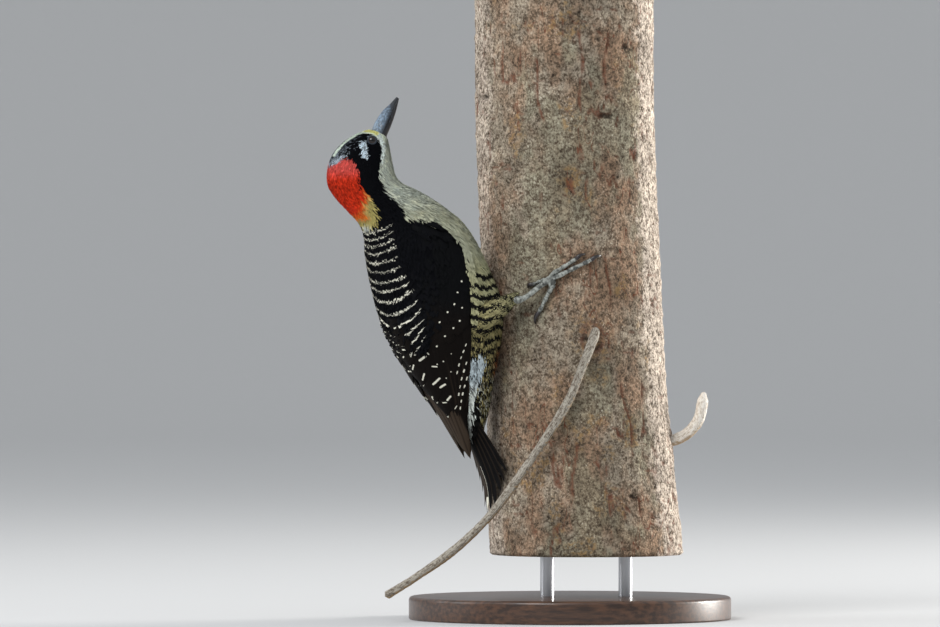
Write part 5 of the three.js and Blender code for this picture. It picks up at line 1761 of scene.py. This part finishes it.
def make_branches(twig_material, stub_material):
    """The twig across the front and the stub on the far side, with their lumps and streaks; the
    stub's near-white is partly its weathered wood's own pale tone and partly painted sunlight.
    """
    fine = np.linspace(0, 1, 80)
    twig_radii = lerp(*TWIG_RADII, fine) + 0.12 * np.sin(26 * fine)
    stub_radii = STUB_RADIUS * (1 - 0.5 * smoothstep(fine, 0.88, 1) ** 1.5)
    for name, line, radii, rings, sides, height, size, seed, streaks, material in (
        ("twig", TWIG_LINE, twig_radii, 360, 40, 0.22, 1.2, 31, 6, twig_material),
        ("stub", STUB_LINE, stub_radii, 160, 48, 0.2, 1.5, 37, 2, stub_material),
    ):
        points, faces, marks = tube(line, radii, rings, sides)
        piece = make_mesh(name, roughened(points, sides, height, size, seed), faces)
        angle = marks[:, 1] * TURN
        set_vector(piece, "vane", stacked(marks[:, 0] * streaks, np.cos(angle), np.sin(angle)))
        set_uv(piece, inset(marks[:, 0], marks[:, 1]))
        finish_piece(piece, ["perch_" + name], material)


def roughened(points, sides, height, size, seed):
    """A tube's points moved out from the middle of their ring by layered noise."""
    ring = points.reshape(-1, sides, 3)
    out = ring - ring.mean(1, keepdims=True)
    out /= np.maximum(length_of(out), 1e-6)[..., None]
    lump = layered_noise(ring / size, seed, 4) - 0.6
    return (ring + out * (height * 2 * lump)[..., None]).reshape(-1, 3)


def turned(profile, sides):
    """A turned shape about the Z axis from (radius, height) rows, first and last on the axis."""
    angle = full_turn(sides)[None]
    r, z = np.array(profile, float).T[:, :, None]
    points = stacked(r * np.cos(angle), r * np.sin(angle), z)
    return points.reshape(-1, 3), grid_faces(len(profile) - 1, sides, wrap=True)[:, ::-1]


def make_stand(wood, steel):
    """A turned wooden base with a rounded shoulder, and two steel rods up into the trunk."""
    bend = np.linspace(0, math.pi / 2, 9)
    shoulder = [(68.4 + 1.6 * math.cos(k), 8.4 + 1.6 * math.sin(k)) for k in bend]
    foot = [(69.2 + 0.8 * math.sin(k), 0.8 - 0.8 * math.cos(k)) for k in bend]
    profile = [(0, 0), (66, 0), *foot, *shoulder, (40, 10), (0, 10)]
    base = make_mesh("base", *turned(profile, 160))
    finish_piece(base, ["stand_base"], wood)
    for name, side in SIDES:
        points, faces = turned([(0, 10), (3, 10), (3, TRUNK_BOTTOM + 0.4), (0, TRUNK_BOTTOM + 0.4)], 40)
        points = points + (trunk_axis(TRUNK_BOTTOM) + side * 17, 0, 0)
        rod = make_mesh("rod_" + name, points, faces)
        rod.data.shade_flat()
        finish_piece(rod, ["stand_rod_" + name], steel)


# ---------- stage


def area_light(name, at, towards, size, power, colour=(1, 1, 1)):
    """A soft square lamp that faces a point. Places are in metres."""
    light = bpy.data.lights.new(name, "AREA")
    light.shape = "SQUARE"
    light.size = size
    light.energy = power
    light.color = colour
    lamp = bpy.data.objects.new(name, light)
    bpy.context.scene.collection.objects.link(lamp)
    lamp.location = at
    away = np.array(at) - np.array(towards)
    yaw = math.atan2(away[0], -away[1])
    lamp.rotation_euler = (math.atan2(math.hypot(away[0], away[1]), away[2]), 0, yaw)


def make_stage(floor_material):
    """A round floor that turns up into a backdrop, three soft lamps, a pale world and the camera."""
    flat, bend = np.linspace(0, 5.0, 24), np.linspace(0, math.pi / 2, 24)[1:]
    r = np.concatenate([flat, 5.0 + 3.0 * np.sin(bend)])
    z = np.concatenate([0 * flat, 3.0 * (1 - np.cos(bend))])
    points, faces = turned(list(zip(r / MM, z / MM)), 128)
    floor = make_mesh("floor", points, faces[:, ::-1])
    floor.data.materials.append(floor_material)

    subject = (-0.03, 0.0, 0.15)
    area_light("key", (-0.9, -1.6, 1.5), subject, 1.0, 29)
    area_light("rim", (1.65, 0.8, 0.34), subject, 0.6, 56, (1.0, 0.97, 0.92))
    area_light("fill", (-1.8, 0.1, 0.7), subject, 1.2, 12)

    scene = bpy.context.scene
    world = bpy.data.worlds.new("Studio")
    world.use_nodes = True
    sky = world.node_tree.nodes["Background"]
    sky.inputs["Color"].default_value = (0.88, 0.9, 0.92, 1)
    sky.inputs["Strength"].default_value = 0.74
    scene.world = world
    scene.view_settings.view_transform = "Standard"

    lens = bpy.data.cameras.new("Camera")
    lens.sensor_width = 36
    lens.lens = 311.7
    lens.clip_end = 40
    camera = bpy.data.objects.new("Camera", lens)
    scene.collection.objects.link(camera)
    camera.location = (-0.0434, -3.535, 0.1327)
    camera.rotation_euler = (math.pi / 2, 0, 0)
    scene.camera = camera


# ---------- operators, panel and registration


class WOODPECKER_OT_skin(bpy.types.Operator):
    """Make the one skin under the coat"""

    bl_idname = "woodpecker.skin"
    bl_label = "Skin"

    def execute(self, context):
        make_skin(plumage(context), feather_material("Feathers"))
        return {"FINISHED"}


class WOODPECKER_OT_coat(bpy.types.Operator):
    """Grow the feathers of the head, neck, breast, belly, rump and thighs"""

    bl_idname = "woodpecker.coat"
    bl_label = "Coat"

    def execute(self, context):
        colours = plumage(context)
        sizes = context.scene.woodpecker_sizes
        material = feather_material("Feathers")
        for seed, (name, region, start, end) in enumerate(REGIONS):
            grid = (4 if region in ("head", "neck") else 5, 2)
            part = body_coat((start, end), colours, sizes, 100 + seed, grid)
            feather_piece("coat_" + name, [part], [region], material)
        for name, side in SIDES:
            part = thigh_coat(side, colours, 110 + side)
            feather_piece("coat_thigh_" + name, [part], ["thigh_" + name], material)
        return {"FINISHED"}


class WOODPECKER_OT_wings(bpy.types.Operator):
    """Lay both folded wings, feather by feather"""

    bl_idname = "woodpecker.wings"
    bl_label = "Wings"

    def execute(self, context):
        colours = plumage(context)
        material = feather_material("Wing Feathers", 0.65, 0.5, 0.06)
        for name, side in SIDES:
            for group, parts in wing_parts(side, colours).items():
                node = f"wing_{name}_{group}"
                feather_piece(node + "_feathers", parts, [node], material)
        return {"FINISHED"}


class WOODPECKER_OT_tail(bpy.types.Operator):
    """Lay the stiff feathers of the tail"""

    bl_idname = "woodpecker.tail"
    bl_label = "Tail"

    def execute(self, context):
        colours = plumage(context)
        material = feather_material("Wing Feathers", 0.65, 0.5, 0.06)
        groups = {
            "tail_centre": [(0, 1), (0, -1)],
            "tail_right": [(order, 1) for order in range(1, 5)],
            "tail_left": [(order, -1) for order in range(1, 5)],
        }
        for node, members in groups.items():
            feather_piece(node + "_feathers", [tail_part(members, colours)], [node], material)
        return {"FINISHED"}


class WOODPECKER_OT_head(bpy.types.Operator):
    """Make the bill and the eyes"""

    bl_idname = "woodpecker.head"
    bl_label = "Bill and Eyes"

    def execute(self, context):
        colours = plumage(context)
        make_bill(colours, painted_material("Bill", 0.38, 0.3, 2200.0, 0.1, 0.5, 0.3))
        ball = painted_material("Eye", 0.08, 0.2, 3000.0, 0.5, 0.25, 0.0)
        make_eyes(colours, ball, painted_material("Bare Skin", 0.55, 0.5, 3500.0, 0.0, 0.4, 0.5))
        return {"FINISHED"}


class WOODPECKER_OT_legs(bpy.types.Operator):
    """Make the scaly feet and their claws"""

    bl_idname = "woodpecker.legs"
    bl_label = "Legs"

    def execute(self, context):
        colours = plumage(context)
        make_legs(
            colours,
            painted_material("Foot", 0.5, 0.4, 2500.0, 0.0, 0.4, 0.3),
            painted_material("Claw", 0.32, 0.3, 2500.0, 0.2, 0.5, 0.1),
        )
        return {"FINISHED"}


class WOODPECKER_OT_perch(bpy.types.Operator):
    """Make the trunk, the twig and the stub"""

    bl_idname = "woodpecker.perch"
    bl_label = "Perch"

    def execute(self, context):
        colours = context.scene.woodpecker_perch
        make_trunk(bark_material(colours), cut_material(colours))
        make_branches(
            dead_wood_material("Twig", colours.twig_light, colours.twig_dark, colours.bark_ochre),
            dead_wood_material("Stub", colours.stub_light, colours.stub_dark, colours.bark_ochre),
        )
        return {"FINISHED"}


class WOODPECKER_OT_stand(bpy.types.Operator):
    """Make the display stand"""

    bl_idname = "woodpecker.stand"
    bl_label = "Stand"

    def execute(self, context):
        colours = context.scene.woodpecker_perch
        make_stand(base_wood_material(colours), plain_material("Brushed Steel", colours.steel, 0.32, 1.0))
        return {"FINISHED"}


class WOODPECKER_OT_stage(bpy.types.Operator):
    """Set the floor, the lights and the camera"""

    bl_idname = "woodpecker.stage"
    bl_label = "Stage"

    def execute(self, context):
        make_stage(plain_material("Floor", context.scene.woodpecker_perch.floor, 0.9))
        return {"FINISHED"}


SETTINGS = {
    "woodpecker_plumage": WoodpeckerPlumage,
    "woodpecker_perch": WoodpeckerPerch,
    "woodpecker_sizes": WoodpeckerSizes,
}
OPERATORS = (
    WOODPECKER_OT_skin,
    WOODPECKER_OT_coat,
    WOODPECKER_OT_wings,
    WOODPECKER_OT_tail,
    WOODPECKER_OT_head,
    WOODPECKER_OT_legs,
    WOODPECKER_OT_perch,
    WOODPECKER_OT_stand,
    WOODPECKER_OT_stage,
)


class WOODPECKER_PT_panel(bpy.types.Panel):
    """The woodpecker's settings and one button per operator"""

    bl_label = "Woodpecker"
    bl_space_type = "VIEW_3D"
    bl_region_type = "UI"
    bl_category = "Woodpecker"

    def draw(self, context):
        for operator in OPERATORS:
            self.layout.operator(operator.bl_idname)
        for name, group in SETTINGS.items():
            box = self.layout.box()
            box.label(text=group.__doc__)
            for setting in group.__annotations__:
                box.prop(getattr(context.scene, name), setting)


CLASSES = (*SETTINGS.values(), *OPERATORS, WOODPECKER_PT_panel)


def register():
    for kind in CLASSES:
        bpy.utils.register_class(kind)
    for name, group in SETTINGS.items():
        setattr(bpy.types.Scene, name, bpy.props.PointerProperty(type=group))


def unregister():
    for name in SETTINGS:
        delattr(bpy.types.Scene, name)
    for kind in reversed(CLASSES):
        bpy.utils.unregister_class(kind)


def main():
    register()
    for operator in OPERATORS:
        getattr(bpy.ops.woodpecker, operator.bl_idname.split(".")[1])()


if __name__ == "__main__":
    main()
